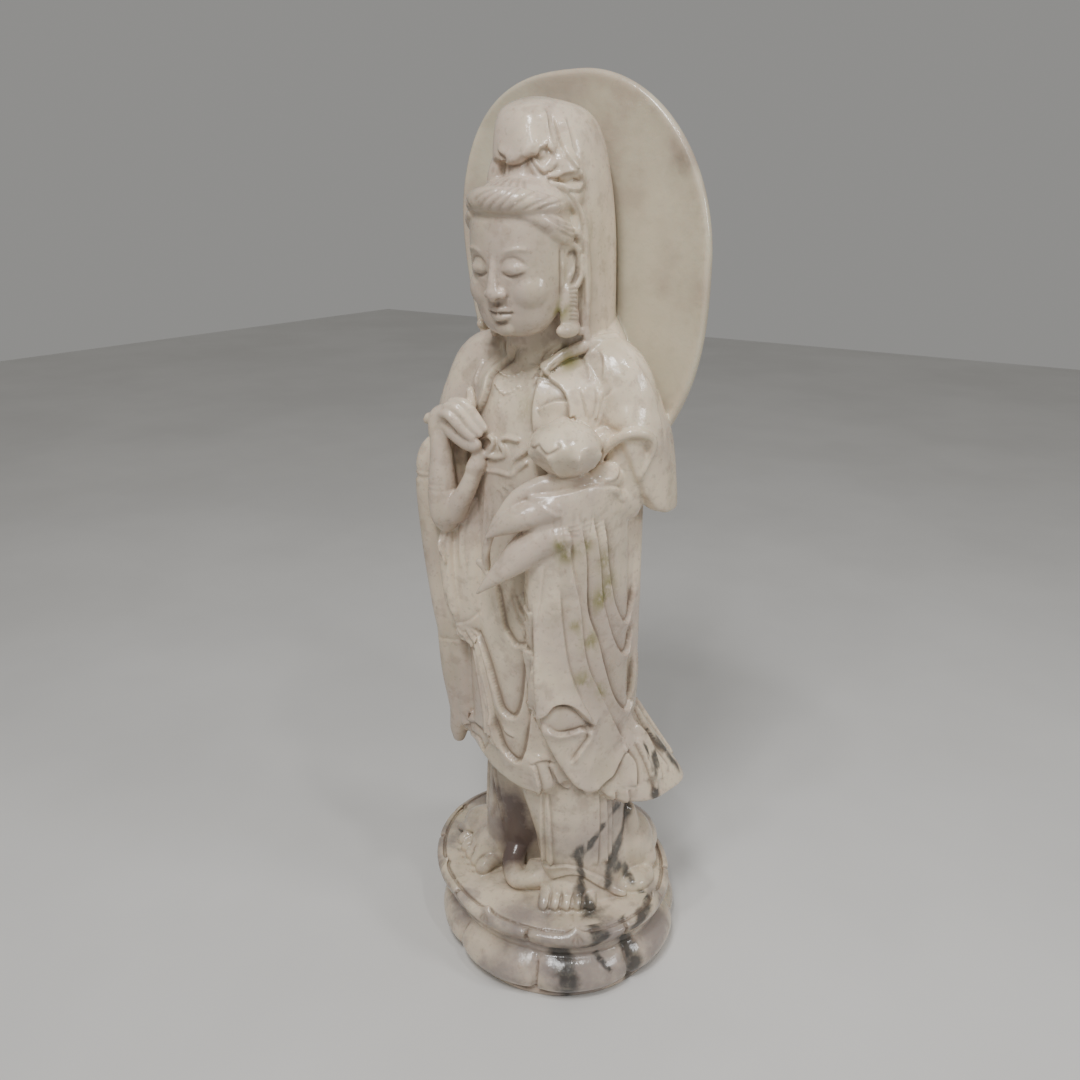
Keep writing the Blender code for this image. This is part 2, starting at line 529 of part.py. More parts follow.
forms += [
    limb([(74, -108, 718, 19), (60, -116, 712, 19), (47, -128, 707, 17.5), (36, -137, 700, 15),
          (25, -146, 692, 9.5), (13, -154, 682, 2.5)], flat=0.95),
    limb([(76, -100, 684, 22), (62, -110, 676, 23), (52, -118, 668, 23), (42, -131, 656, 20.5),
          (29, -146, 640, 14), (17, -156, 626, 8), (4, -163, 611, 2)], flat=0.95),
]

# Lotus: a shallow faceted bud, and its stem bent down over the hand.


def bud_facets(turn, z):
    """Eight flat petals below the rim, and a round crown above it."""
    wide = 2 * math.pi / 8
    flat = (np.cos(wide / 2) / np.cos((turn % wide) - wide / 2)) ** 1.5 * 1.05
    share = np.clip((z - 784) / 10, 0, 1)
    return flat * (1 - share) + share


forms += [
    column([(755, 82, -86, 14, 14, 2, 7), (758, 82, -86, 23, 23, 2, 7), (767, 81, -86, 33, 32, 2, 7),
            (780, 80, -87, 42, 41, 2, 7), (788, 79, -87, 44, 43, 2, 7), (797, 79, -87, 41, 40, 2, 7),
            (808, 79, -87, 31, 30, 2, 7), (815, 79, -87, 17, 17, 2, 7), (818, 79, -87, 5, 5, 2, 7)],
           around=96, rows=48, outline=bud_facets),
    limb([(104, -60, 742, 12), (86, -82, 744, 12), (70, -100, 744, 12), (56, -112, 741, 10.5),
          (38, -126, 729, 9), (24, -136, 709, 7), (13, -144, 686, 5.6), (5, -145, 660, 5.2),
          (1, -139, 637, 5)]),
    limb([(-8, -142, 642, 5), (-2, -140, 634, 4), (5, -137, 624, 5.5)]),
]

# Feet: bare, turned out, with folds of the skirt over the right ankle and across the left foot.


def foot(ankle, toe, azimuth, outward, pitch):
    """toe is the tip of the big toe; the others lie beside it, outward, one pitch apart."""
    turn = math.radians(azimuth)
    forward = np.array([math.sin(turn), -math.cos(turn)])
    across = np.array([math.cos(turn), math.sin(turn)]) * outward
    ball = np.array(toe) + across * 2 * pitch - forward * 30
    side = (*across, 0)
    parts = [limb([(*ankle, 144, 28), (*((np.array(ankle) + ball) / 2), 138, 36),
                   (*ball, 120, 2.3 * pitch)],
                  flat=0.6),
             limb([(*(ball - across * pitch * 1.3), 118, 18), (*(ball + across * pitch * 1.4), 116, 15)])]
    for k, radius in enumerate((0.62, 0.55, 0.54, 0.52, 0.50)):
        tip = np.array(toe) + across * pitch * k - forward * (7 + 0.5 * k * k)
        root = tip - forward * 26 - across * (k - 2) * 1.5
        r = radius * pitch
        parts.append(limb([(*root, 120, r + 1.5), (*((root + tip) / 2), 122 - k * 0.4, r + 0.6),
                           (*tip, 117 - k * 0.4, r)]))
        nail = tip + forward * 1.5
        parts.append(blob((*nail, 117 + r * 0.82 - k * 0.4), (r * 0.66, r * 0.85, 2.2), (35, 0, azimuth)))
    return parts


forms += foot((-72, -22), (-70, -84), -22, -1, 18.5)
forms += foot((50, -26), (55, -95), 27, 1, 16.2)
forms += [
    limb([(-34, -44, 140, 14), (-24, -60, 130, 15), (-8, -74, 124, 15), (12, -68, 128, 14),
          (30, -50, 138, 14), (54, -32, 146, 13), (82, -20, 138, 11), (108, -11, 124, 9),
          (130, -1, 113, 5)], flat=0.9),
    sheet([[(2, -58, 146), (30, -44, 152), (58, -28, 156), (88, -10, 146), (112, 4, 132), (134, 16, 120)],
           [(3, -72, 136), (30, -58, 148), (59, -40, 152), (90, -22, 140), (115, -8, 126), (136, 6, 117)],
           [(4, -84, 124), (30, -72, 136), (60, -54, 142), (92, -34, 130), (117, -19, 118), (134, 2, 114)],
           [(6, -84, 112), (30, -72, 120), (60, -54, 126), (92, -35, 114), (116, -20, 108), (132, 0, 108)]],
          (-8, 16, -6)),
    limb([(-156, -22, 118, 5), (-140, -26, 128, 10), (-116, -26, 139, 13), (-92, -20, 144, 14),
          (-70, -12, 146, 13)],
         flat=0.8),
    blob((-102, -4, 136), (54, 32, 26), (0, -10, 0)),
]

# Sash: a small bow under the chest.

forms += [
    limb([(-46, -88, 779, 2.5), (-32, -91, 786, 3.4), (-21, -93, 780, 3.4), (-26, -94, 769, 3.4),
          (-31, -93, 762, 3.4), (-18, -94, 761, 3.4), (-6, -94, 764, 3.2)]),
    limb([(-4, -93, 766, 3.2), (-5, -94, 773, 3.4), (-12, -93, 781, 3.4), (-4, -92, 787, 3),
          (14, -91, 786, 2.5)]),
    limb([(2, -92, 748, 3), (10, -92, 762, 4), (24, -92, 774, 4), (40, -90, 788, 3)]),
    limb([(2, -93, 738, 2.5), (14, -92, 748, 3), (26, -92, 760, 3)]),
    limb([(-52, -84, 736, 2.5), (-30, -91, 741, 3), (-10, -94, 743, 3), (6, -94, 742, 3),
          (20, -92, 756, 3)]),
]

# Carving. A stroke is a smooth line of turn and height on the drapery. Turn is in degrees round the
# figure's axis, 0 at the front and 90 at its left, and the cloth is higher on one side of the line.

strokes = []


def block(parts):
    """One list of points and faces, in metres, from several forms."""
    points, faces, start = [], [], 0
    for p, f in parts:
        points.append(p)
        faces += [tuple(i + start for i in face) for face in f]
        start += len(p)
    return np.vstack(points) * METRES, faces


surface = BVHTree.FromPolygons(*block(forms[:cloth_count]))


def on_drapery(line):
    """The places where lines of turn and height meet the drapery, seen from outside."""
    places = []
    for turn, z in line:
        a = math.radians(turn)
        out = Vector((math.sin(a), -math.cos(a), 0))
        hit = surface.ray_cast(out * 0.5 + Vector((0, 0, z * METRES)), -out)[0]
        if hit is not None:
            places.append(hit[:])
    return np.array(places)


def stroke(points, height=3.0, width=9.0, raised=1, fade=0.15):
    """A fold's edge. raised is 1 where the cloth on the right of the line's way is the higher."""
    places = on_drapery(curve_through(points, 10))
    if len(places) > 2:
        strokes.append((places, height * METRES, width * METRES, raised, fade))


def relief(points, normals):
    """How far each point of the stone is lifted or cut by the strokes."""
    lift = np.zeros(len(points))
    for places, height, width, raised, fade in strokes:
        reach = 3 * width
        near = np.all((points > places.min(0) - reach) & (points < places.max(0) + reach), axis=1)
        ids = np.nonzero(near)[0]
        along = np.gradient(places, axis=0)
        along /= np.linalg.norm(along, axis=1)[:, None]
        share = np.linspace(0, 1, len(places))
        strength = np.clip(np.minimum(share, 1 - share) / max(fade, 1e-3), 0, 1)
        for part in np.array_split(ids, max(1, len(ids) // 4000)):
            gap = ((points[part][:, None, :] - places[None]) ** 2).sum(-1)
            nearest = gap.argmin(1)
            close = gap[np.arange(len(part)), nearest] < reach ** 2
            part, nearest = part[close], nearest[close]
            offset = points[part] - places[nearest]
            side = np.cross(along[nearest], normals[part]) * raised
            d = (offset * side).sum(-1) / width
            step = 0.5 + 0.5 * np.tanh(d / 0.14)
            crest = step * np.exp(-np.abs(d) ** 1.4)
            groove = 0.55 * (1 - step) * np.exp(-(np.abs(d) / 0.6) ** 1.4)
            depth = np.exp(-(np.sqrt(gap[close, nearest]) / (2.2 * width)) ** 4)
            lift[part] += height * (crest - groove) * strength[nearest] * depth
    return lift


# Right sleeve: the gap between its rolls, and the folded end of the outer one.

stroke([(-41, 655), (-37, 620), (-38, 575), (-41, 530), (-44, 485), (-48, 420), (-54, 350)], height=6,
       fade=0.06)
stroke([(-41, 650), (-37, 612), (-38, 570), (-35, 538)], height=4, width=8, raised=-1, fade=0.08)
stroke([(-55, 487), (-50, 488), (-43, 495), (-39, 513)], height=4, width=8, fade=0.05)

# Robe front: long folds from the right hip, and folds that hang in a U below the left hand.

stroke([(-31, 528), (-22, 489), (-14, 438), (-7, 386), (-2, 362)], height=5, fade=0.1)
stroke([(-29, 527), (-16, 493), (-7, 450), (-1, 423), (9, 417), (15, 440), (18, 498), (15, 520)],
       height=7, width=13, fade=0.06)
stroke([(-11, 410), (-6, 387), (-1, 367), (6, 356), (13, 353), (17, 365), (20, 397), (23, 460), (24, 526)],
       height=7, width=13, fade=0.06)
stroke([(-8, 600), (-4, 580), (1, 546), (6, 532), (12, 522), (25, 530)], height=6, width=12, fade=0.06)
for turn in (-38, -30, -22, -14):
    stroke([(turn, 710), (turn - 3, 655), (turn - 1, 600)], height=2.5, width=7)

# Left sleeve: sweeping folds, with nested hanging folds behind them and a turned fold at the corner.

stroke([(39, 614), (41, 562), (45, 504), (52, 459), (62, 414)], height=4.5, width=12, fade=0.08)
stroke([(42, 700), (45, 645), (50, 591), (56, 509), (67, 454), (80, 400), (88, 366)], height=6, width=13,
       fade=0.05)
stroke([(48, 706), (53, 642), (56, 577), (64, 532), (69, 497), (79, 441), (90, 411), (96, 417), (102, 489)],
       height=6, width=13, fade=0.05)
stroke([(55, 706), (62, 639), (66, 591), (73, 547), (80, 516), (88, 496), (94, 502), (99, 530)],
       height=6, width=12, fade=0.05)
stroke([(62, 702), (69, 635), (73, 603), (78, 573), (86, 546), (92, 541), (97, 556), (100, 590)],
       height=6, width=12, fade=0.05)
stroke([(27, 431), (36, 452), (42, 453), (48, 446), (55, 428), (64, 407)], height=6, raised=-1, fade=0.05)
stroke([(31, 427), (36, 414), (41, 409), (54, 410), (59, 403)], height=5)
stroke([(25, 600), (27, 457), (29, 431), (34, 393), (43, 352), (53, 321), (63, 308), (77, 323), (86, 350)],
       height=5, width=11, raised=-1, fade=0.04)

# Mantle: its edges over the chest, the lapel, and folds on the shoulder.

stroke([(-10, 900), (-22, 884), (-36, 857), (-33, 835), (-35, 816), (-41, 798)], height=6, width=12,
       fade=0.04)
stroke([(34, 896), (27, 880), (23, 863), (20, 842), (19, 818), (21, 794)], height=5, raised=-1, fade=0.04)
stroke([(26, 870), (34, 856), (45, 841), (47, 826), (46, 806)], height=5, raised=-1, fade=0.04)
stroke([(72, 893), (67, 874), (63, 858)], height=3, width=6, raised=-1)
stroke([(55, 850), (57, 834), (59, 815)], height=3, width=6, raised=-1)

# Inner skirt pleats, the train, and the long folds of the back.

for turn in (29, 36, 73, 80):
    stroke([(turn, 300), (turn, 240), (turn + 1, 168)], height=4, width=7, fade=0.03)
for k in range(5):
    turn = 92 + 8 * k
    stroke([(turn, 420), (turn + 3, 350), (turn + 5, 290)], height=5, raised=1 - 2 * (k % 2), fade=0.06)
for k in range(5):
    turn = 132 + 20 * k
    stroke([(turn, 660 - 40 * (k % 2)), (turn + 3, 500), (turn - 2, 330)], height=5, width=12)


def evaluated(mesh, kind, **settings):
    """The mesh after one modifier."""
    holder = bpy.data.objects.new("holder", mesh)
    bpy.context.scene.collection.objects.link(holder)
    modifier = holder.modifiers.new(kind.lower(), kind)
    for name, value in settings.items():
        setattr(modifier, name, value)
    graph = bpy.context.evaluated_depsgraph_get()
    result = bpy.data.meshes.new_from_object(holder.evaluated_get(graph))
    bpy.data.objects.remove(holder)
    bpy.data.meshes.remove(mesh)
    return result


def flatten_underside(mesh, within):
    """The plinth stands on one flat face at z = 0."""
    for vertex in mesh.vertices:
        if vertex.co.z < within:
            vertex.co.z = 0.0


def carve(material):
    """One closed mesh from all the forms, cut with the strokes."""
    stone = bpy.data.meshes.new("stone")
    points, faces = block(forms)
    stone.from_pydata(points, [], faces)
    stone = evaluated(stone, "REMESH", mode="VOXEL", voxel_size=VOXEL * METRES)
    count = len(stone.vertices)
    points, normals = np.empty(count * 3), np.empty(count * 3)
    stone.vertices.foreach_get("co", points)
    stone.vertex_normals.foreach_get("vector", normals)
    points, normals = points.reshape(-1, 3), normals.reshape(-1, 3)
    points += normals * relief(points, normals)[:, None]
    stone.vertices.foreach_set("co", points.ravel())
    flatten_underside(stone, UNDERSIDE_BAND * METRES)
    stone = evaluated(stone, "DECIMATE", ratio=TRIANGLES / (2 * len(stone.polygons)))
    flatten_underside(stone, METRES)
    stone.name = "guanyin_figure"
    figure = bpy.data.objects.new("guanyin_figure", stone)
    bpy.context.scene.collection.objects.link(figure)
    stone.materials.append(material)


def veined_stone():
    material = bpy.data.materials.new("stone")
    material.use_nodes = True
    shader = material.node_tree.nodes["Principled BSDF"]
    shader.inputs["Base Color"].default_value = (0.66, 0.60, 0.54, 1)
    shader.inputs["Roughness"].default_value = 0.22
    return material


carve(veined_stone())
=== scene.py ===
"""A standing guanyin, carved with its lotus plinth and its halo from one block of veined white stone.

Sizes in the carving are in millimetres. The figure faces -Y and its left hand is at +X.
"""

import math

import bpy
import numpy as np
from mathutils import Matrix, Vector
from mathutils.bvhtree import BVHTree


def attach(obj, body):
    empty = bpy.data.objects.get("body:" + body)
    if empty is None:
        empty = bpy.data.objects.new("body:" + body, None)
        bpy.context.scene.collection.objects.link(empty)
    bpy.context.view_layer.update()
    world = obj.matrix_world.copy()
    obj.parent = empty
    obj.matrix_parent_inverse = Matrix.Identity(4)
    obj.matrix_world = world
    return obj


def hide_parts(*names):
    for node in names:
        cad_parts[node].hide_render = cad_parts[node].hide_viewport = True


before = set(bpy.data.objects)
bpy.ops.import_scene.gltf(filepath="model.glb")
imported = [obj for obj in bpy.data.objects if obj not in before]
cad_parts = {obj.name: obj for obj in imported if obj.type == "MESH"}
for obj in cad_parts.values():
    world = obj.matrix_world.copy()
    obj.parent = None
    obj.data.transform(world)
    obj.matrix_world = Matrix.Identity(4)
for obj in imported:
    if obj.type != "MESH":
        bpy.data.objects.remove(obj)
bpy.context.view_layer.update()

# Lotus plinth. The foot of the block is a drum of eight plump petals on a thin base, then a narrow
# ledge, and above it eight petals that lean out to a pointed rim round a flat top. All of it is
# turned and filed from the same stone as the figure, so it is a list of closed shapes to be fused.

PETALS = 8
PLINTH_TOP = 108
UPPER_OVAL = {"middle": (-12, 24), "wide": 193, "deep": 169, "turn": -19}
LOWER_OVAL = {"middle": (3, 23), "wide": 172, "deep": 163, "turn": -45}
shapes = []


def curve_through(points, per_span=6):
    """A smooth line through the points, which may carry radii or other columns beside x, y, z."""
    p = np.asarray(points, float)
    if len(p) < 3:
        t = np.linspace(0, 1, per_span * 2 + 1)[:, None]
        return p[0] * (1 - t) + p[-1] * t
    ends = np.vstack([2 * p[0] - p[1], p, 2 * p[-1] - p[-2]])
    line = []
    for a, b, c, d in zip(ends, ends[1:], ends[2:], ends[3:]):
        for t in np.arange(per_span) / per_span:
            line.append(
                0.5 * (2 * b + (c - a) * t + (2 * a - 5 * b + 4 * c - d) * t * t
                       + (3 * b - a - 3 * c + d) * t ** 3)
            )
    return np.array(line + [p[-1]])


def skin(rings):
    """A closed shape from a stack of rings that all have the same number of points."""
    rings = np.asarray(rings, float)
    rows, around, _ = rings.shape
    points = np.vstack([rings.reshape(-1, 3), rings[0].mean(0), rings[-1].mean(0)])
    faces = []
    for i in range(rows - 1):
        for j in range(around):
            k = (j + 1) % around
            faces.append((i * around + j, i * around + k, (i + 1) * around + k, (i + 1) * around + j))
    first, last = rows * around, rows * around + 1
    for j in range(around):
        k = (j + 1) % around
        faces.append((first, k, j))
        faces.append((last, (rows - 1) * around + j, (rows - 1) * around + k))
    return points, faces


def petal_place(turn):
    """How far a direction lies from the middle of its petal, from 0 to 1 at the valley."""
    wide = 2 * math.pi / PETALS
    return np.abs(((turn + math.pi / 2 + wide / 2) % wide) / wide * 2 - 1)


def oval_reach(turn, oval):
    a = turn - math.radians(oval["turn"])
    return 1 / np.sqrt((np.cos(a) / oval["wide"]) ** 2 + (np.sin(a) / oval["deep"]) ** 2)


def tier(levels, oval, smooth=3):
    """A tier of petals. Each level is height, inset from the oval, swell of the petal's middle, and
    how far its tip lifts and leans in."""
    turn = np.linspace(0, 2 * math.pi, 384, endpoint=False)
    across = petal_place(turn)
    tip = np.exp(-(across / 0.12) ** 1.1)
    fold = np.exp(-((1 - across) / 0.045) ** 2)
    x, y = oval["middle"]
    rings = []
    for z, inset, swell, lift, lean in curve_through(levels, smooth):
        radius = oval_reach(turn, oval) - inset + swell * (0.6 - across ** 3 - 0.7 * fold) - lean * tip
        rings.append(np.stack([x + radius * np.cos(turn), y + radius * np.sin(turn),
                               z + lift * tip - 0.25 * lift * fold], -1))
    return skin(rings)


shapes += [
    tier([(0, 1, 0, 0, 0), (4, -1, 0, 0, 0), (8, 0, 1, 0, 0), (10, 1, 3, 0, 0), (14, -4, 5, 0, 0),
          (22, -10, 7, 0, 0), (34, -12, 7, 0, 0), (46, -8, 7, 0, 0), (54, -1, 6, 0, 0), (61, 8, 4, 0, 0),
          (66, 20, 0, 0, 0)], LOWER_OVAL),
    tier([(56, 24, 0, 0, 0), (63, 17, 2, 0, 0), (68, 14, 2, 0, 0), (74, 14, 2, 0, 0), (79, 22, 0, 0, 0)],
         UPPER_OVAL),
    tier([(70, 26, 0, 0, 0), (76, 16, 1, 0, 0), (83, 9, 4, 0, 0), (91, 4, 4, 0, 0), (98, 1, 3, 1, 0),
          (103, 0, 1, 6, 4), (106, 3, 0, 9, 7), (108, 8, 0, 9, 6), (108, 10, 0, 6, 4), (104, 12, 0, 1, 1),
          (98, 20, 0, 0, 0)], UPPER_OVAL),
    tier([(84, 20, 0, 0, 0), (104, 11, 0, 0, 0), (PLINTH_TOP, 12, 0, 0, 0), (PLINTH_TOP + 1, 20, 0, 0, 0)],
         UPPER_OVAL),
]

# Inner skirt. A straight column of cloth from the plinth to the hem of the robe, with flat pleats,
# cut back into a deep hollow between the legs, and heaped in round folds behind the feet.


def column(keys, around=96, rows=60, outline=None, lift=None):
    """A stack of ovals. Each key is z, centre x, y, half width, depth, squareness and turn in degrees."""
    line = curve_through(keys, max(2, rows // (len(keys) - 1)))
    turn = np.linspace(0, 2 * math.pi, around, endpoint=False)
    c, s = np.cos(turn), np.sin(turn)
    rings = []
    for z, cx, cy, rx, ry, power, spin in line:
        reach = (np.abs(c) ** power + np.abs(s) ** power) ** (-1 / power)
        swell = outline(turn, z) if outline else 1.0
        level = z + (lift(turn, z) if lift else 0.0)
        x, y = rx * c * reach * swell, ry * s * reach * swell
        cs, sn = math.cos(math.radians(spin)), math.sin(math.radians(spin))
        rings.append(np.stack([cx + x * cs - y * sn, cy + x * sn + y * cs,
                               np.broadcast_to(level, (around,))], -1))
    return skin(rings)


def limb(path, around=24, per_span=6, flat=1.0, up=(0, 0, 1)):
    """A round bar with domed ends. Each key is x, y, z and radius; flat squeezes it along up."""
    line = curve_through(path, per_span)
    centre, radius = line[:, :3], np.maximum(line[:, 3], 0.3)
    along = np.gradient(centre, axis=0)
    along /= np.linalg.norm(along, axis=1)[:, None]
    up = np.asarray(up, float)
    rings = []

    def ring(c, t, r):
        side = np.cross(t, up)
        side /= max(np.linalg.norm(side), 1e-6)
        over = np.cross(side, t)
        a = np.linspace(0, 2 * math.pi, around, endpoint=False)[:, None]
        return c + r * np.cos(a) * side + r * flat * np.sin(a) * over

    for k in (0.15, 0.55, 0.85):
        back = radius[0] * math.sqrt(1 - k * k)
        rings.append(ring(centre[0] - along[0] * back, along[0], radius[0] * k))
    rings += [ring(c, t, r) for c, t, r in zip(centre, along, radius)]
    for k in (0.85, 0.55, 0.15):
        ahead = radius[-1] * math.sqrt(1 - k * k)
        rings.append(ring(centre[-1] + along[-1] * ahead, along[-1], radius[-1] * k))
    return skin(rings)


def blob(centre, radii, turn=(0, 0, 0), around=32):
    """An ellipsoid, turned about X, Y and Z in degrees."""
    rings = []
    for lat in np.linspace(-math.pi / 2, math.pi / 2, around // 2 + 1)[1:-1]:
        a = np.linspace(0, 2 * math.pi, around, endpoint=False)
        rings.append(np.stack([np.cos(lat) * np.cos(a), np.cos(lat) * np.sin(a),
                               np.full(around, math.sin(lat))], -1))
    points, faces = skin(rings)
    points[-2], points[-1] = (0, 0, -1), (0, 0, 1)
    spin = np.eye(3)
    for angle, axis in zip(turn, "XYZ"):
        spin = np.array(Matrix.Rotation(math.radians(angle), 3, axis)) @ spin
    return (points * radii) @ spin.T + centre, faces


def sheet(rows, inward):
    """A sheet of cloth. Each row is a line of points on its outer face; inward points into the stone."""
    rows = [curve_through(row, 6) for row in rows]
    grid = curve_through(np.array(rows).reshape(len(rows), -1), 5).reshape(-1, len(rows[0]), 3)
    inward = np.asarray(inward, float)
    rings = []
    for k, row in enumerate(grid):
        edge = min(k, len(grid) - 1 - k, 2) / 2
        deep = inward * (0.45 + 0.55 * math.sin(edge * math.pi / 2))
        fade = np.minimum(np.minimum(np.arange(len(row)), np.arange(len(row))[::-1]) / 2.0, 1.0)[:, None]
        tuck = 2 - np.sin(fade * math.pi / 2) - math.sin(edge * math.pi / 2)
        face = row + inward * tuck * 0.3
        rings.append(np.vstack([face, (row + deep + inward * 0.3)[::-1]]))
    return skin(rings)


def skirt_pleats(turn, z):
    low = np.clip((330 - z) / 120, 0, 1)
    middle, wide = math.radians(248 + 6 * low), 0.23 + 0.10 * low
    hollow = np.exp(-np.abs((turn - middle) / wide) ** 2.4) * low ** 0.7
    return 1 + 0.008 * np.sin(14 * turn) - 0.46 * hollow


shapes += [
    column([(PLINTH_TOP - 8, 24, 30, 112, 96, 2.2, 0), (124, 22, 26, 102, 92, 2.2, 0),
            (180, 18, 14, 95, 89, 2.3, 0), (250, 16, 6, 96, 90, 2.3, 0),
            (345, 10, 0, 96, 88, 2.3, 0)], around=192, rows=64, outline=skirt_pleats),
    limb([(-56, -16, 330, 32), (-58, -18, 250, 33), (-60, -20, 180, 33), (-62, -20, 126, 34)]),
    blob((94, 60, 150), (44, 42, 54), (0, 12, 20)),
    blob((118, 40, 114), (36, 38, 18), (0, 0, 30)),
    limb([(104, 48, 215, 14), (108, 52, 180, 18), (112, 62, 150, 20)]),
    limb([(118, 60, 178, 14), (124, 66, 150, 17), (126, 70, 126, 18)]),
    limb([(96, 30, 190, 12), (102, 34, 160, 14), (110, 34, 132, 15)]),
    blob((70, 92, 134), (60, 50, 46)),
    blob((-62, 84, 124), (76, 54, 34)),
    blob((-104, 28, 114), (36, 42, 18)),
    limb([(-100, 40, 128, 16), (-122, 16, 120, 13), (-134, -10, 116, 10)]),
]

# Robe. The main mass of the figure from the hem to the neck. The hem swings out behind the left
# leg in a train, and the cloth at the front hangs lower over the right leg.


def hem_drop(turn, z):
    """How far the hem falls below its front height round the back left."""
    away = np.angle(np.exp(1j * (turn - math.radians(28))))
    low = np.clip((420 - z) / 110, 0, 1) ** 1.5
    peak = np.exp(-((turn - math.radians(244)) / 0.20) ** 2)
    lobe = np.exp(-((turn - math.radians(292)) / 0.26) ** 4)
    return 6 + (18 * peak - 24 * lobe - 62 * np.exp(-(away / 0.85) ** 4)) * low


def train_swing(turn, z):
    away = np.angle(np.exp(1j * (turn - math.radians(35))))
    low = np.clip((450 - z) / 130, 0, 1)
    ripple = 0.045 * np.cos(13 * away) * low
    return 1 + (0.95 * low ** 1.6 + ripple) * np.exp(-(away / 0.60) ** 2)


shapes += [
    column([(318, 8, -12, 80, 74, 2.1, 0), (320, 8, -12, 94, 88, 2.1, 0), (326, 8, -12, 100, 94, 2.1, 0),
            (358, 4, -13, 103, 95, 2.1, 0), (430, 0, -14, 103, 93, 2.1, 0), (520, -2, -15, 102, 91, 2.1, 0),
            (640, -2, -13, 101, 86, 2.1, 0), (745, -1, -10, 98, 84, 2.2, 0), (800, 0, -6, 104, 78, 2.3, 0),
            (838, 0, 0, 108, 72, 2.3, 0), (862, 0, 8, 98, 62, 2.2, 0), (884, 0, 16, 68, 50, 2.0, 0),
            (900, 0, 20, 44, 40, 2.0, 0)], around=192, rows=132, outline=train_swing, lift=hem_drop),
    sheet([[(-84, -84, 372), (-50, -99, 374), (-10, -107, 376), (30, -107, 374), (62, -101, 368)],
           [(-82, -82, 352), (-50, -98, 350), (-12, -107, 350), (30, -108, 346), (66, -101, 346)],
           [(-72, -82, 342), (-44, -97, 332), (-8, -106, 324), (32, -108, 322), (68, -99, 326)],
           [(-58, -82, 338), (-34, -94, 322), (-2, -101, 310), (34, -104, 305), (64, -97, 312)]], (0, 18,
                                                                                                   2)),
]

# Left sleeve. A long bag of cloth that hangs from the forearm to the hem. Its front edge stands
# clear of the robe, and its lower corner is round and hangs in front of the train.

SLEEVE_TURN = -25.5


def hanging_cloth(middle, spin, thick, length, square, foot, top, rows=90, around=160):
    """A slab of hanging cloth. foot and top give its lower and upper edge along its length."""
    turn = np.linspace(0, 2 * math.pi, around, endpoint=False)
    c, s = np.cos(turn), np.sin(turn)
    reach = (np.abs(c) ** square + np.abs(s) ** square) ** (-1 / square)
    cs, sn = math.cos(math.radians(spin)), math.sin(math.radians(spin))
    rings = []
    for rise in (1 - np.cos(np.linspace(0, math.pi, rows))) / 2:
        end = min(rise, 1 - rise)
        soft = min(1.0, 0.55 + 0.45 * math.sqrt(max(end, 0) / 0.02)) if end < 0.02 else 1.0
        x, y = thick * c * reach * soft, length * s * reach * (0.5 + 0.5 * soft)
        z = foot(y) + (top(y) - foot(y)) * rise
        rings.append(np.stack([middle[0] + x * cs - y * sn, middle[1] + x * sn + y * cs, z], -1))
    return skin(rings)


shapes += [
    hanging_cloth((61, -12), SLEEVE_TURN, 38, 74, 5.0,
                  foot=lambda y: np.interp(y, [-74, -20, 20, 74], [350, 322, 296, 272]),
                  top=lambda y: np.interp(y, [-74, -40, 0, 74], [728, 736, 736, 698])),
    sheet([[(62, -132, 734), (84, -119, 735), (106, -104, 740), (119, -84, 744), (126, -56, 744),
            (126, -26, 738)],
           [(60, -131, 690), (82, -116, 690), (104, -96, 692), (117, -68, 694), (122, -38, 694),
            (122, -4, 690)],
           [(57, -127, 640), (78, -112, 640), (99, -88, 640), (112, -58, 640), (118, -28, 640),
            (119, 4, 640)],
           [(55, -125, 590), (76, -109, 590), (96, -82, 590), (109, -52, 590), (116, -22, 590),
            (118, 10, 590)],
           [(56, -123, 520), (77, -105, 520), (96, -79, 520), (108, -49, 520), (115, -18, 520),
            (118, 14, 520)],
           [(59, -119, 465), (78, -101, 465), (96, -76, 465), (108, -46, 465), (116, -16, 465),
            (120, 14, 465)],
           [(65, -113, 430), (82, -97, 430), (98, -73, 430), (109, -45, 430), (117, -16, 430),
            (121, 12, 430)],
           [(71, -105, 393), (84, -92, 392), (99, -71, 392), (110, -45, 392), (118, -18, 392),
            (123, 8, 392)],
           [(81, -92, 355), (90, -82, 354), (102, -65, 352), (112, -43, 352), (119, -20, 354),
            (125, 4, 358)],
           [(92, -76, 326), (98, -69, 323), (106, -58, 321), (114, -43, 321), (119, -28, 324),
            (123, -12, 332)],
           [(100, -64, 311), (103, -60, 309), (107, -55, 308), (111, -48, 308), (115, -40, 310),
            (118, -32, 314)]],
          (-14, 10, 0)),
]

# Right sleeve. It is narrower and hangs from the raised elbow in two long rolls, the outer one
# lower, with a flat length of cloth behind them that ends in a round bag.

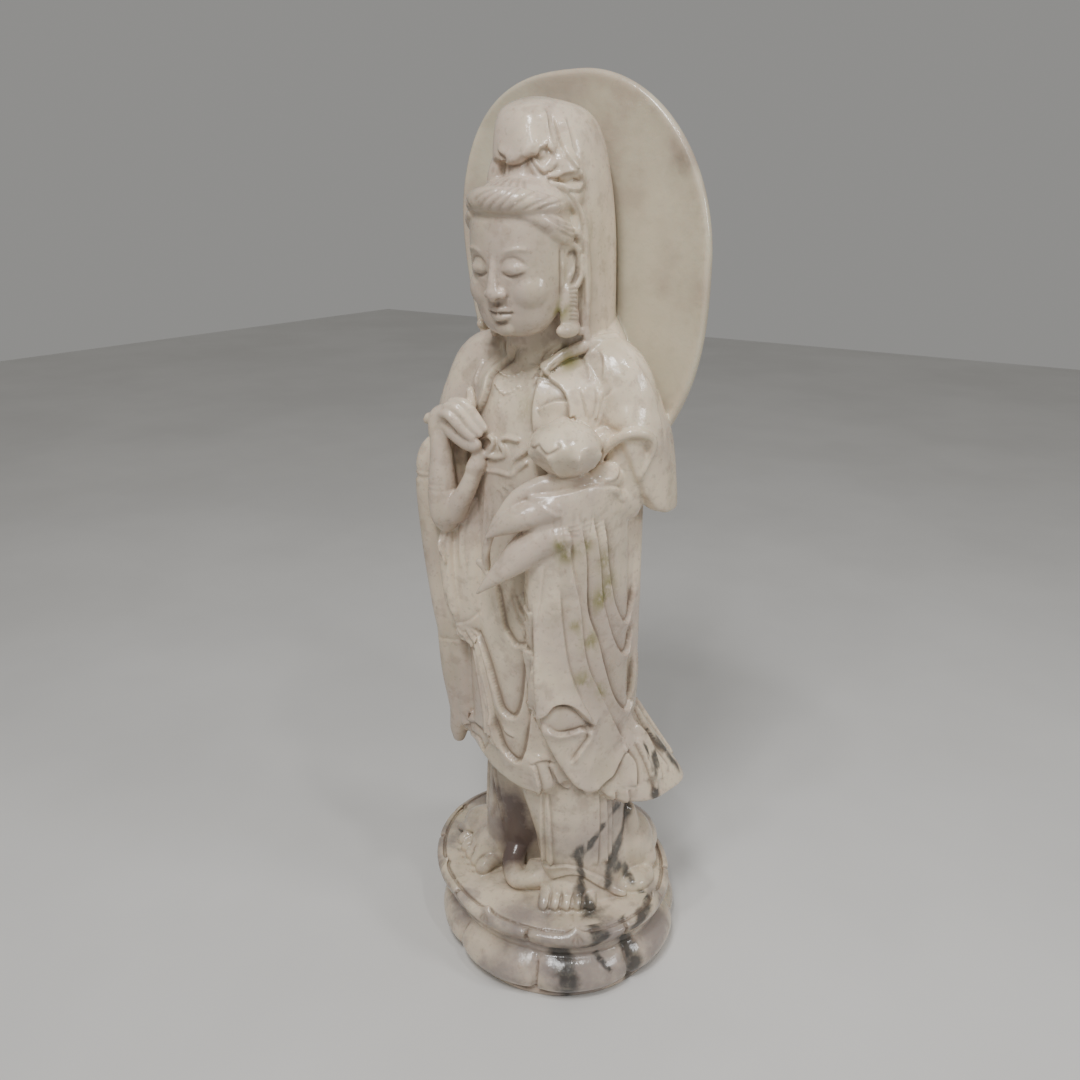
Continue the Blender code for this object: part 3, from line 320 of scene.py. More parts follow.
shapes += [
    limb([(-112, -78, 772, 10), (-126, -88, 752, 15), (-129, -90, 716, 18), (-124, -89, 640, 19),
          (-117, -81, 540, 19), (-114, -73, 486, 18)]),
    limb([(-119, -79, 520, 14), (-115, -71, 440, 18), (-114, -61, 370, 16), (-121, -56, 332, 14),
          (-124, -54, 314, 10)]),
    limb([(-92, -100, 668, 9), (-90, -106, 620, 9), (-82, -105, 560, 8.5), (-72, -101, 518, 7)]),
    column([(500, -62, -68, 14, 18, 2.0, 0), (510, -64, -70, 25, 32, 2.4, 0),
            (560, -66, -70, 28, 36, 2.6, 0), (620, -68, -68, 28, 37, 2.6, 0),
            (700, -70, -58, 24, 36, 2.4, 0)], rows=40),
    column([(330, -98, -40, 18, 20, 2.0, 0), (360, -98, -40, 26, 34, 2.0, 0),
            (460, -102, -48, 26, 40, 2.0, 0), (580, -106, -56, 26, 42, 2.0, 0),
            (700, -106, -58, 26, 42, 2.0, 0), (780, -100, -40, 22, 36, 2.0, 0)],
           rows=30),
]

# Mantle over the shoulders. On the left it falls over the forearm in an arch. Under the arch the
# turned-in edge of the cloth shows, and the flap behind it ends in a corner clear of the figure.

shapes += [
    limb([(-52, 6, 880, 28), (-92, -8, 862, 36), (-106, -16, 826, 40), (-112, -34, 776, 38),
          (-104, -52, 700, 24)]),
    limb([(56, 8, 882, 30), (92, 4, 860, 38), (108, 4, 820, 39), (110, 4, 768, 38), (104, 0, 706, 30)]),
    limb([(104, 0, 716, 30), (96, -36, 712, 30), (86, -72, 708, 24)]),
    sheet([[(108, -34, 838), (126, -24, 842), (138, 0, 846), (136, 34, 846)],
           [(114, -38, 808), (136, -32, 812), (149, -2, 816), (142, 44, 816)],
           [(142, -29, 796), (149, -18, 794), (155, 8, 790), (149, 52, 790)],
           [(150, -10, 772), (154, -2, 770), (157, 20, 765), (152, 58, 760)],
           [(142, -18, 746), (149, -4, 742), (156, 22, 736), (154, 62, 730)],
           [(146, -6, 716), (150, 6, 710), (156, 28, 702), (157, 62, 698)],
           [(148, 18, 692), (152, 26, 689), (156, 38, 686), (158, 56, 688)]], (-15, 3, 0)),
    sheet([[(126, -38, 796), (134, -34, 798), (143, -26, 798)],
           [(131, -34, 776), (139, -28, 776), (148, -14, 776)],
           [(135, -27, 756), (141, -23, 754), (148, -12, 752)],
           [(140, -20, 736), (143, -17, 735), (147, -8, 732)]], (-13, 6, 0)),
    limb([(95, -40, 756, 3), (104, -40, 776, 5), (119, -40, 791, 6), (134, -36, 800, 6), (145, -26, 800, 6),
          (151, -14, 793, 5.5), (153, -9, 783, 5), (149, -10, 768, 4), (142, -18, 747, 4)]),
    limb([(26, -61, 862, 3.5), (35, -55, 873, 6), (48, -42, 885, 7), (62, -26, 892, 8), (76, -8, 898, 8),
          (84, 10, 900, 8)]),
    limb([(-38, -40, 874, 4), (-50, -24, 885, 8), (-60, -6, 890, 9)]),
    blob((106, -38, 742), (20, 36, 20)),
    blob((98, -34, 788), (14, 18, 16)),
]

# Halo. An upright leaf-shaped slab behind the head and the shoulders, hollowed at the front inside
# a raised rim, and fuller on the figure's right.

HALO_MIDDLE = 985
HALO_HALF_WIDTH = 181
HALO_LEAN = 2
HEIGHT = 1200


def halo_half(square, low_start, low_reach, low_power, side):
    """One side of the outline, from the top of the halo down into the robe."""
    t = np.linspace(0, math.pi / 2, 60)
    x, rise = np.cos(t[::-1]) ** (2 / square), np.sin(t[::-1]) ** (2 / square)
    top = np.stack([x, HALO_MIDDLE + (HEIGHT - HALO_MIDDLE) * rise], -1)
    down = np.stack([np.ones(60), np.linspace(HALO_MIDDLE, 700, 61)[1:]], -1)
    line = np.vstack([top, down])
    line[:, 0] *= 1 - (np.clip(low_start - line[:, 1], 0, None) / low_reach) ** low_power
    line[:, 0] = HALO_LEAN + side * HALO_HALF_WIDTH * line[:, 0]
    return line


def halo():
    left = halo_half(2.0, HALO_MIDDLE, 326, 2.83, 1)
    right = halo_half(2.8, 1060, 510, 1.8, -1)
    outline = np.vstack([left[::-1], right[1:]])
    middle = np.array([HALO_LEAN, HALO_MIDDLE])
    rings = []
    for share, y in ((0.02, 62), (0.45, 60.5), (0.75, 57), (0.88, 53.5), (0.93, 51.5), (0.955, 50),
                     (0.975, 49), (0.99, 50), (1.0, 53), (1.0, 58), (0.985, 64), (0.95, 68), (0.7, 76),
                     (0.02, 78)):
        ring = middle + (outline - middle) * share
        rings.append(np.stack([ring[:, 0], np.full(len(ring), y), ring[:, 1]], -1))
    return skin(rings)


shapes += [
    halo(),
    column([(560, 0, 20, 70, 50, 2.4, 0), (700, 0, 24, 96, 52, 2.4, 0), (800, 0, 24, 104, 54, 2.4, 0),
            (880, 0, 30, 90, 46, 2.4, 0), (930, 0, 40, 60, 34, 2.2, 0)], rows=24),
]
cloth_count = len(shapes)

# Veil. It is drawn over the topknot as a hood with a round front lobe, falls in ruffles beside it,
# and hangs straight down behind the ears to the collar, where its edge rolls forward.


def lobe_edge(turn, z):
    low = np.clip((1122 - z) / 16, 0, 1)
    return (7 * np.exp(-((turn - math.radians(318)) / 0.35) ** 2)
            - 3 * np.exp(-((turn - math.radians(268)) / 0.5) ** 2)) * low


shapes += [
    column([(868, 1, 30, 64, 34, 2.8, 0), (884, 1, 18, 68, 50, 3.2, 0), (930, 1, 10, 69, 52, 3.6, 0),
            (1000, 0, 8, 69, 54, 3.6, 0), (1050, 1, 4, 68, 56, 3.0, 0), (1085, 3, -2, 64, 58, 2.7, 0),
            (1115, 5, -8, 58, 60, 2.5, 0), (1140, 4, -10, 49, 54, 2.4, 0), (1154, 2, -10, 36, 42, 2.2, 0),
            (1162, 0, -10, 14, 20, 2.0, 0)],
           rows=72),
    column([(1096, 4, -58, 29, 27, 3.0, 0), (1098, 4, -59, 33, 30, 3.0, 0), (1112, 4, -58, 34, 30, 3.0, 0),
            (1134, 3, -51, 34, 33, 2.8, 0), (1149, 2, -42, 32, 33, 2.6, 0), (1158, 1, -33, 25, 27, 2.4, 0),
            (1163, 0, -28, 12, 14, 2.0, 0)], rows=48, lift=lobe_edge),
    sheet([[(16, -60, 1148), (26, -54, 1147), (35, -42, 1144)],
           [(22, -68, 1128), (35, -60, 1128), (43, -44, 1126)],
           [(23, -72, 1110), (39, -64, 1108), (48, -46, 1106)],
           [(22, -75, 1098), (34, -71, 1090), (50, -54, 1093)],
           [(30, -73, 1089), (36, -70, 1083), (52, -52, 1083)]], (-8, 14, 0)),
    sheet([[(33, -44, 1145), (42, -34, 1142), (48, -18, 1138)],
           [(40, -50, 1116), (51, -38, 1114), (58, -16, 1110)],
           [(44, -56, 1096), (59, -40, 1095), (64, -14, 1092)],
           [(43, -63, 1083), (61, -38, 1081), (67, -14, 1076)]], (-14, 8, 0)),
    limb([(24, -54, 1149, 5), (33, -58, 1134, 5), (38, -60, 1120, 5), (42, -60, 1109, 5),
          (43, -59, 1103, 4)]),
    limb([(36, -42, 1145, 5), (43, -42, 1128, 5), (48, -42, 1114, 5), (54, -39, 1098, 5),
          (60, -33, 1085, 5), (62, -29, 1074, 4)]),
    limb([(20, -75, 1103, 3.5), (25, -75, 1094, 4), (31, -73, 1088, 4), (37, -69, 1088, 4),
          (41, -64, 1095, 4), (43, -59, 1103, 4)]),
    limb([(35, -72, 1078, 3.5), (44, -64, 1081, 4), (51, -55, 1083, 4), (58, -44, 1084, 4.5),
          (62, -34, 1080, 4.5), (61, -30, 1072, 4)]),
    limb([(47, -64, 1068, 4), (54, -54, 1066, 5), (59, -42, 1068, 5), (62, -32, 1071, 4)]),
    limb([(18, -75, 1104, 3.5), (26, -75, 1090, 4), (36, -72, 1077, 4), (48, -63, 1066, 4.5),
          (57, -51, 1056, 5), (62, -40, 1044, 5), (65, -34, 1028, 5), (67, -30, 1000, 5), (67, -28, 960, 5),
          (66, -27, 925, 5), (67, -24, 904, 5)]),
    limb([(-16, -66, 1112, 8), (-22, -71, 1096, 10), (-26, -74, 1082, 10), (-28, -76, 1071, 8)], flat=0.9),
    limb([(-64, -30, 1030, 6), (-66, -30, 960, 6), (-66, -27, 900, 6)]),
    blob((42, -44, 1092), (20, 20, 22), (0, 0, 25)),
    blob((58, -28, 1026), (12, 18, 30)),
    blob((-58, -28, 1026), (12, 18, 30)),
    limb([(-46, -52, 1064, 6), (-58, -42, 1046, 6), (-64, -32, 1028, 6)]),
    blob((52, -38, 1060), (14, 18, 18)),
    blob((-46, -38, 1060), (14, 18, 18)),
]

# Neck and head. The head nods a little, and the neck is wide under it. The brow, the foot of the nose
# and the chin lie about a third of the face apart. It is cut from the same block as the veil.

HEAD_AT = (4, -50, 996)
HEAD_NOD = math.radians(11)


def in_head(points):
    """From the head's own upright frame to its place on the figure."""
    c, s = math.cos(HEAD_NOD), math.sin(HEAD_NOD)
    return np.asarray(points, float) @ np.array([[1, 0, 0], [0, c, s], [0, -s, c]]) + HEAD_AT


def head(shape):
    points, faces = shape
    return in_head(points), faces


levels = [(-81, 16, -52, -26), (-75, 34, -62, -16), (-62, 46, -67.5, -4), (-44, 53, -69.5, 10),
          (-22, 56, -71, 30), (0, 57, -71.5, 45), (25, 56, -71.5, 52), (50, 53, -67, 52), (70, 44, -52, 45),
          (86, 20, -25, 20)]
shapes += [
    limb([(0, -6, 850, 50), (0, -16, 886, 42), (0, -28, 930, 40)], around=40),
    head(column([(z, 0, (front + back) / 2, half, (back - front) / 2, 2.25, 0) for z, half, front,
                 back in levels],
                rows=72)),
    head(limb([(0, -68, 18, 3.6), (0, -71.5, 4, 4.4), (0, -76, -12, 5.8), (0, -79, -22, 7.4),
               (0, -78, -26, 7)])),
    head(blob((0, -62, -66), (15, 10, 11))),
]
for side in (-1, 1):
    shapes += [
        head(blob((side * 8.5, -73, -25), (6.5, 7.5, 5.5))),
        head(blob((side * 22, -60, 1), (16.5, 11.5, 10), (0, side * 6, side * 12))),
        head(blob((side * 26, -46, -26), (26, 23, 26))),
        head(limb([(side * 9, -69, 16, 2.5), (side * 22, -67, 22, 3), (side * 36, -59, 21, 3),
                   (side * 45, -47, 12, 2)],
                  flat=0.8)),
    ]
shapes += [
    head(limb([(-18, -65, -46.5, 1.6), (-10, -69, -44.2, 3.2), (-4, -72, -42.8, 3.9),
               (0, -71.6, -43.6, 3.6), (4, -72, -42.8, 3.9), (10, -69, -44.2, 3.2),
               (18, -65, -46.5, 1.6)])),
    head(limb([(-13, -66.5, -50, 2.6), (-6.5, -70, -51.5, 4.3), (0, -71.5, -52, 5), (6.5, -70, -51.5, 4.3),
               (13, -66.5, -50, 2.6)])),
]

# Hair. A broad roll lies across the brow with slanting strands, a second sweep covers the temples
# down to the ears, and the topknot rises under the hood.

shapes += [
    head(limb([(-52, -14, 58, 8), (-42, -34, 64, 11), (-24, -51, 70, 12.5), (0, -59, 73, 13.5),
               (24, -55, 71, 13.5), (42, -42, 66, 12), (53, -22, 60, 9)], flat=1.05)),
    head(blob((0, -6, 58), (57, 58, 32))),
    limb([(2, -58, 1056, 36), (5, -60, 1072, 28), (6, -62, 1088, 22), (6, -62, 1108, 21)], around=40),
]
for side in (-1, 1):
    shapes += [
        head(limb([(side * 36, -50, 56, 6), (side * 45, -38, 48, 10), (side * 50, -22, 38, 13),
                   (side * 52, -4, 26, 13)])),
        head(limb([(side * 51, -28, 34, 8), (side * 56, -12, 24, 8)])),
    ]

# Ears. Each has a curled rim and a long lobe with hatched sides that ends in a leaf-shaped drop.

for side in (-1, 1):
    shapes += [
        limb([(side * 57, -68, 1002, 3.4), (side * 58, -65, 1014, 4), (side * 61, -55, 1021, 4.4),
              (side * 64, -43, 1019, 4.6), (side * 66, -34, 1006, 4.6), (side * 66, -34, 988, 4.6),
              (side * 64, -39, 972, 4.8), (side * 62, -46, 960, 5)]),
        limb([(side * 58, -58, 1006, 2.8), (side * 61, -50, 1009, 3.2), (side * 63, -43, 1002, 3.4),
              (side * 62, -44, 988, 3.4), (side * 60, -51, 976, 3.2), (side * 58, -59, 972, 3)]),
        blob((side * 57, -50, 986), (5, 17, 32), (0, 0, -side * 12)),
        blob((side * 58, -67, 986), (4.5, 4.5, 8)),
        blob((side * 58, -52, 950), (8, 15, 24), (0, 0, -side * 12)),
        blob((side * 59, -50, 930), (7.5, 14, 16), (0, 0, -side * 12)),
        blob((side * 60, -54, 915), (8, 18, 9), (0, 0, -side * 12)),
        limb([(side * 60, -40, 920, 6), (side * 63, -33, 909, 3)]),
    ]

# Right arm. A bare forearm rises from the sleeve, and the hand is folded in blessing before the
# shoulder: three fingers lie over the thumb and the first finger points up behind them.

shapes += [
    limb([(-92, -97, 662, 13), (-89, -106, 678, 20), (-91, -109, 711, 19), (-92, -108, 750, 15),
          (-94, -108, 784, 11.5)]),
    limb([(-98, -108, 784, 11), (-94, -108, 804, 12), (-82, -106, 812, 11)]),
    blob((-70, -102, 806), (17, 10, 14), (0, 35, 0)),
    limb([(-76, -107, 684, 17), (-61, -109, 703, 13.5), (-50, -106, 724, 11.5), (-43, -100, 748, 10.5),
          (-41, -97, 762, 9)]),
    limb([(-45, -101, 742, 12.2), (-42, -99, 750, 12.2)]),
    limb([(-74, -106, 825, 5.6), (-57, -104, 825, 6), (-40, -100, 807, 5.8), (-31, -98, 796, 5)]),
    limb([(-78, -111, 819, 5.8), (-62, -110, 818, 6.2), (-45, -106, 800, 6), (-35, -103, 790, 5)]),
    limb([(-84, -114, 811, 5.8), (-70, -116, 810, 6.2), (-54, -112, 794, 6), (-42, -109, 784, 5)]),
    limb([(-86, -104, 795, 10), (-68, -104, 784, 10.5), (-52, -104, 777, 10.5), (-42, -104, 775, 9.5)]),
    limb([(-57, -94, 812, 5.4), (-57, -92, 826, 4.8), (-58, -91, 838, 4)]),
    limb([(-98, -108, 800, 8), (-106, -110, 802, 7), (-110, -111, 799, 5.5)]),
]

# Left hand. Two long groups of fingers reach forward and down from the cuff, open like a beak.

shapes += [
    limb([(74, -108, 718, 19), (60, -116, 712, 19), (47, -128, 707, 17.5), (36, -137, 700, 15),
          (25, -146, 692, 9.5), (13, -154, 682, 2.5)], flat=0.95),
    limb([(76, -100, 684, 22), (62, -110, 676, 23), (52, -118, 668, 23), (42, -131, 656, 20.5),
          (29, -146, 640, 14), (17, -156, 626, 8), (4, -163, 611, 2)], flat=0.95),
]

# Lotus. The left hand holds a shallow faceted bud. Its stem bends down in a crescent blade across
# the fingers and ends below them in a cut stalk.


def bud_facets(turn, z):
    """Eight flat petals below the rim, and a round crown above it."""
    wide = 2 * math.pi / 8
    flat = (np.cos(wide / 2) / np.cos((turn % wide) - wide / 2)) ** 1.5 * 1.05
    share = np.clip((z - 784) / 10, 0, 1)
    return flat * (1 - share) + share


shapes += [
    column([(755, 82, -86, 14, 14, 2, 7), (758, 82, -86, 23, 23, 2, 7), (767, 81, -86, 33, 32, 2, 7),
            (780, 80, -87, 42, 41, 2, 7), (788, 79, -87, 44, 43, 2, 7), (797, 79, -87, 41, 40, 2, 7),
            (808, 79, -87, 31, 30, 2, 7), (815, 79, -87, 17, 17, 2, 7), (818, 79, -87, 5, 5, 2, 7)],
           around=96, rows=48, outline=bud_facets),
    limb([(104, -60, 742, 12), (86, -82, 744, 12), (70, -100, 744, 12), (56, -112, 741, 10.5),
          (38, -126, 729, 9), (24, -136, 709, 7), (13, -144, 686, 5.6), (5, -145, 660, 5.2),
          (1, -139, 637, 5)]),
    limb([(-8, -142, 642, 5), (-2, -140, 634, 4), (5, -137, 624, 5.5)]),
]

# Feet. Bare feet stand turned out on the plinth with square toes. Folds of the skirt lie over the
# right ankle and cross over the left foot.


toe_lines = []


def foot(ankle, toe, azimuth, outward, pitch):
    """toe is the tip of the big toe; the others lie beside it, outward, one pitch apart."""
    turn = math.radians(azimuth)
    forward = np.array([math.sin(turn), -math.cos(turn)])
    across = np.array([math.cos(turn), math.sin(turn)]) * outward
    ball = np.array(toe) + across * 2 * pitch - forward * 36
    side = (*across, 0)
    parts = [limb([(*ankle, 144, 28), (*((np.array(ankle) + ball) / 2), 138, 36),
                   (*ball, 120, 2.3 * pitch)],
                  flat=0.6),
             limb([(*(ball - across * pitch * 1.3), 118, 17), (*(ball + across * pitch * 1.4), 116, 14)])]
    for k, radius in enumerate((0.62, 0.55, 0.54, 0.52, 0.50)):
        tip = np.array(toe) + across * pitch * k - forward * (7 + 0.5 * k * k)
        root = tip - forward * 31 - across * (k - 2) * 1.5
        r = radius * pitch
        parts.append(limb([(*root, 120, r + 1.5), (*((root + tip) / 2), 122 - k * 0.4, r + 0.6),
                           (*tip, 117 - k * 0.4, r)]))
        nail = tip + forward * 1.5
        parts.append(blob((*nail, 117 + r * 0.82 - k * 0.4), (r * 0.66, r * 0.85, 2.2), (35, 0, azimuth)))
        if k < 4:
            gap = tip + across * pitch * 0.5
            toe_lines.append([(*(gap - forward * 20), 130), (*gap, 124), (*(gap + forward * r), 117),
                              (*(gap + forward * (r + 2)), 110)])
    return parts


shapes += foot((-72, -22), (-70, -84), -22, -1, 18.5)
shapes += foot((50, -26), (55, -95), 27, 1, 16.2)
shapes += [
    limb([(-34, -30, 150, 16), (-27, -54, 132, 17), (-8, -74, 124, 15), (12, -68, 128, 14),
          (30, -50, 138, 14), (54, -32, 146, 13), (82, -20, 138, 11), (108, -11, 124, 9),
          (130, -1, 113, 5)], flat=0.9),
    sheet([[(2, -58, 146), (30, -44, 152), (58, -28, 156), (88, -10, 146), (112, 4, 132), (134, 16, 120)],
           [(3, -72, 136), (30, -58, 148), (59, -40, 152), (90, -22, 140), (115, -8, 126), (136, 6, 117)],
           [(4, -84, 124), (30, -72, 136), (60, -54, 142), (92, -34, 130), (117, -19, 118), (134, 2, 114)],
           [(6, -84, 112), (30, -72, 120), (60, -54, 126), (92, -35, 114), (116, -20, 108), (132, 0, 108)]],
          (-8, 16, -6)),
    limb([(-156, -22, 118, 5), (-140, -26, 128, 10), (-116, -26, 139, 13), (-92, -20, 144, 14),
          (-70, -12, 146, 13)],
         flat=0.8),
    blob((-102, -4, 136), (54, 32, 26), (0, -10, 0)),
]

# Waist and neck ornaments. A sash with a small bow ties the skirt below the chest, and a string of
# beads with a pendant lies under the collar.

shapes += [
    limb([(-46, -88, 779, 2.5), (-32, -91, 786, 3.4), (-21, -93, 780, 3.4), (-26, -94, 769, 3.4),
          (-31, -93, 762, 3.4), (-18, -94, 761, 3.4), (-6, -94, 764, 3.2)]),
    limb([(-4, -93, 766, 3.2), (-5, -94, 773, 3.4), (-12, -93, 781, 3.4), (-4, -92, 787, 3),
          (14, -91, 786, 2.5)]),
    limb([(2, -92, 748, 3), (10, -92, 762, 4), (24, -92, 774, 4), (40, -90, 788, 3)]),
    limb([(2, -93, 738, 2.5), (14, -92, 748, 3), (26, -92, 760, 3)]),
    limb([(-52, -84, 736, 2.5), (-30, -91, 741, 3), (-10, -94, 743, 3), (6, -94, 742, 3),
          (20, -92, 756, 3)]),
]

beads = bpy.data.node_groups.new("string of beads", "GeometryNodeTree")
beads.interface.new_socket("String", in_out="INPUT", socket_type="NodeSocketGeometry")
for name, value in (("Bead radius", 2.6), ("Spacing", 6.2)):
    beads.interface.new_socket(name, in_out="INPUT", socket_type="NodeSocketFloat").default_value = value
beads.interface.new_socket("Beads", in_out="OUTPUT", socket_type="NodeSocketGeometry")


def wire(tree, kind, **values):
    """Adds a node to a tree. Each value is a number, a colour, or the socket to link from."""
    node = tree.nodes.new(kind)
    for name, value in values.items():
        name = name.replace("_", " ")
        if hasattr(node, name.replace(" ", "_")) and name.replace(" ", "_") not in ("location", "label"):
            setattr(node, name.replace(" ", "_"), value)
            continue
        socket = node.inputs[name]
        if isinstance(value, bpy.types.NodeSocket):
            tree.links.new(value, socket)
        else:
            socket.default_value = value
    return node


entry = beads.nodes.new("NodeGroupInput").outputs
spaced = wire(beads, "GeometryNodeResampleCurve", mode="LENGTH", Curve=entry["String"],
              Length=entry["Spacing"])
bead = wire(beads, "GeometryNodeMeshIcoSphere", Radius=entry["Bead radius"], Subdivisions=3)
strung = wire(beads, "GeometryNodeInstanceOnPoints", Points=spaced.outputs[0],
              Instance=bead.outputs["Mesh"])
made = wire(beads, "GeometryNodeRealizeInstances", Geometry=strung.outputs[0])
stone = bpy.data.materials.new("veined white stone")
faced = wire(beads, "GeometryNodeSetMaterial", Geometry=made.outputs[0], Material=stone)
wire(beads, "NodeGroupOutput", Beads=faced.outputs[0])

for string in (
    [(-36, -62, 860), (-22, -66, 856), (-8, -64, 857), (0, -62, 862)],
    [(-34, -71, 846), (-26, -74, 840), (-16, -76, 837), (-5, -74, 841), (1, -72, 846)],
    [(-24, -74, 832), (-22, -78, 824), (-20, -80, 814)],
):
    line = bpy.data.curves.new("string", "CURVE")
    line.dimensions = "3D"
    spline = line.splines.new("POLY")
    path = curve_through(string, 10)
    spline.points.add(len(path) - 1)
    spline.points.foreach_set("co", np.hstack([path, np.ones((len(path), 1))]).ravel())
    holder = bpy.data.objects.new("string", line)
    bpy.context.scene.collection.objects.link(holder)
    holder.modifiers.new("beads", "NODES").node_group = beads
    strung = bpy.data.meshes.new_from_object(holder.evaluated_get(bpy.context.evaluated_depsgraph_get()))
    shapes.append((np.array([v.co[:] for v in strung.vertices]),
                   [tuple(f.vertices) for f in strung.polygons]))
    bpy.data.objects.remove(holder)
    bpy.data.meshes.remove(strung)
    bpy.data.curves.remove(line)

# Folds. Every fold and incised line is a smooth stroke on the stone. A step leaves the cloth higher
# on one side of the stroke, a ridge stands proud along it, and a groove is cut in.

strokes = []


def cloth_stroke(points, height=3.0, width=12.0, raised=1, fade=0.12, kind="step"):
    """A stroke on the drapery, from turn round the figure (0 at the front, 90 at its left) and height."""
    strokes.append(("cloth", curve_through(points, 10), height * 1.35, width, raised, fade, kind))


def skin_stroke(points, height=1.0, width=2.0, raised=1, fade=0.15, kind="groove"):
    """A stroke on the nearest stone, from places in millimetres."""
    strokes.append(("near", curve_through(points, 10), height, width, raised, fade, kind))


# Robe front: long folds that fall from the right hip and swing under the left sleeve.
for shift, height in ((0, 3.6), (4.5, 3.0), (8, 2.2)):
    cloth_stroke([(-31 - shift, 528), (-22 - shift, 489), (-14 - shift, 438), (-7.5 - shift, 386),
                  (-2 - shift, 362)],
                 height=height, width=9, raised=1, fade=0.1)
cloth_stroke([(-29, 527), (-16, 493), (-7, 450), (-1, 423), (9, 417), (15, 440), (18, 498), (15, 520)],
             height=5, width=13, raised=1, fade=0.06)
cloth_stroke([(-11, 410), (-6, 387), (-1, 367), (6, 356), (13, 353), (17, 365), (20, 397), (23, 460),
              (24, 526)],
             height=5, width=13, raised=1, fade=0.06)
cloth_stroke([(-1, 395), (2, 389), (9, 386)], height=2.2, width=5, raised=-1)
cloth_stroke([(-8, 600), (-4, 580), (1, 546), (6, 532), (12, 522), (25, 530)], height=4, width=12, raised=1,
             fade=0.06)
for rise, left in ((0, 7), (9, 9), (20, 14)):
    cloth_stroke([(left, 588 + rise * 0.3), (left + 2, 571 + rise), (left + 7, 550 + rise * 1.6),
                  (left + 11, 548 + rise * 1.8)],
                 height=2, width=5, raised=1)
cloth_stroke([(-40, 515), (-25, 487), (-18, 428), (-8, 386)], height=2.2, width=6, raised=-1)
for k, (top, knee, end) in enumerate((((-45, 700), (-39, 668), (-38, 610)),
                                      ((-38, 706), (-36, 660), (-33, 600)),
                                      ((-31, 707), (-33, 648), (-28, 590)),
                                      ((-22, 722), (-24, 653), (-22, 600)),
                                      ((-14, 700), (-17, 650), (-16, 610)))):
    cloth_stroke([top, knee, end], height=1.6, width=5, raised=1 - 2 * (k % 2), fade=0.2)
for k in range(3):
    cloth_stroke([(-11 + 5 * k, 709 + 6 * k), (-8 + 5 * k, 720 + 5 * k), (-4 + 5 * k, 716 + 6 * k),
                  (-2 + 5 * k, 706 + 7 * k)],
                 height=0.9, width=4, raised=-1, fade=0.3)

# Hem of the robe: small lapped folds at the right and over the middle.
cloth_stroke([(-58, 340), (-51, 355), (-40, 370), (-26, 377), (-18, 378), (-7, 377)], height=3, width=8,
             raised=-1)
cloth_stroke([(-51, 352), (-40, 352), (-27, 356), (-22, 343), (-18, 352), (-10, 372)], height=2.6, width=6,
             raised=1)
cloth_stroke([(24, 356), (26, 340), (28, 320), (27, 300)], height=3.4, width=7, raised=1, fade=0.08)
cloth_stroke([(22, 354), (27, 361), (33, 362), (38, 356)], height=2.6, width=6, raised=-1, fade=0.08)
cloth_stroke([(34, 356), (38, 337), (43, 315), (50, 308)], height=3, width=7, raised=-1, fade=0.08)

# Right sleeve: the gap between its rolls, and the turned ends of the cloth.
cloth_stroke([(-41, 655), (-37, 620), (-38, 575), (-41, 530), (-43, 505)], height=3.6,
             width=9, raised=1, fade=0.12)
cloth_stroke([(-41, 650), (-37, 612), (-38, 570), (-35, 538)], height=2.6, width=7, raised=-1, fade=0.08)
cloth_stroke([(-55, 487), (-50, 488), (-43, 495), (-39, 513)], height=1.4, width=7, raised=1, fade=0.2)
cloth_stroke([(-23, 553), (-28, 537), (-36, 526)], height=1.6, width=7, raised=-1)

# Left sleeve: folds that sweep from the cuff to the back, and nested bags of cloth behind them.
cloth_stroke([(39, 614), (41, 562), (45, 504), (52, 459), (62, 414)], height=3, width=13, fade=0.08)
cloth_stroke([(42, 700), (45, 645), (50, 591), (56, 509), (67, 454), (80, 400), (88, 366)], height=4,
             width=14, fade=0.05)
cloth_stroke([(48, 706), (53, 642), (56, 577), (64, 532), (69, 497), (79, 441), (90, 411), (96, 417),
              (100, 433), (102, 489)], height=4.6, width=14, fade=0.05)
cloth_stroke([(55, 706), (62, 639), (66, 591), (73, 547), (80, 516), (88, 496), (94, 502), (99, 530)],
             height=4.4, width=13, fade=0.05)
cloth_stroke([(62, 702), (69, 635), (73, 603), (78, 573), (86, 546), (92, 541), (97, 556), (100, 590)],
             height=4, width=12, fade=0.05)
cloth_stroke([(31, 650), (29, 601), (27, 560)], height=1.6, width=4)
cloth_stroke([(27, 431), (32, 442), (36, 452), (42, 453), (48, 446), (55, 428), (59, 417), (64, 407)],
             height=5, width=10, raised=-1, fade=0.05)
cloth_stroke([(31, 427), (36, 414), (41, 409), (49, 409), (54, 410), (59, 403)], height=4.4, width=9,
             raised=1)
cloth_stroke([(59, 402), (59, 392), (54, 380), (47, 360)], height=3.4, width=9, raised=-1)
cloth_stroke([(25, 600), (26, 498), (27, 457), (29, 431), (34, 393), (43, 352), (53, 321), (63, 308),
              (70, 317), (77, 323), (82, 338), (86, 350),
              (90, 354)], height=4, width=12, raised=-1, fade=0.04)
for k in range(5):
    cloth_stroke([(34 + 5 * k, 722), (35 + 4.6 * k, 690), (34 + 4.6 * k, 620)], height=1, width=6,
                 raised=1 - 2 * (k % 2), fade=0.3)
for k in range(3):
    cloth_stroke([(28 + 3 * k, 728 - 3 * k), (33 + 2 * k, 720 - 3 * k), (38 + 3 * k, 719 - 3 * k)],
                 height=0.8, width=4, fade=0.3)

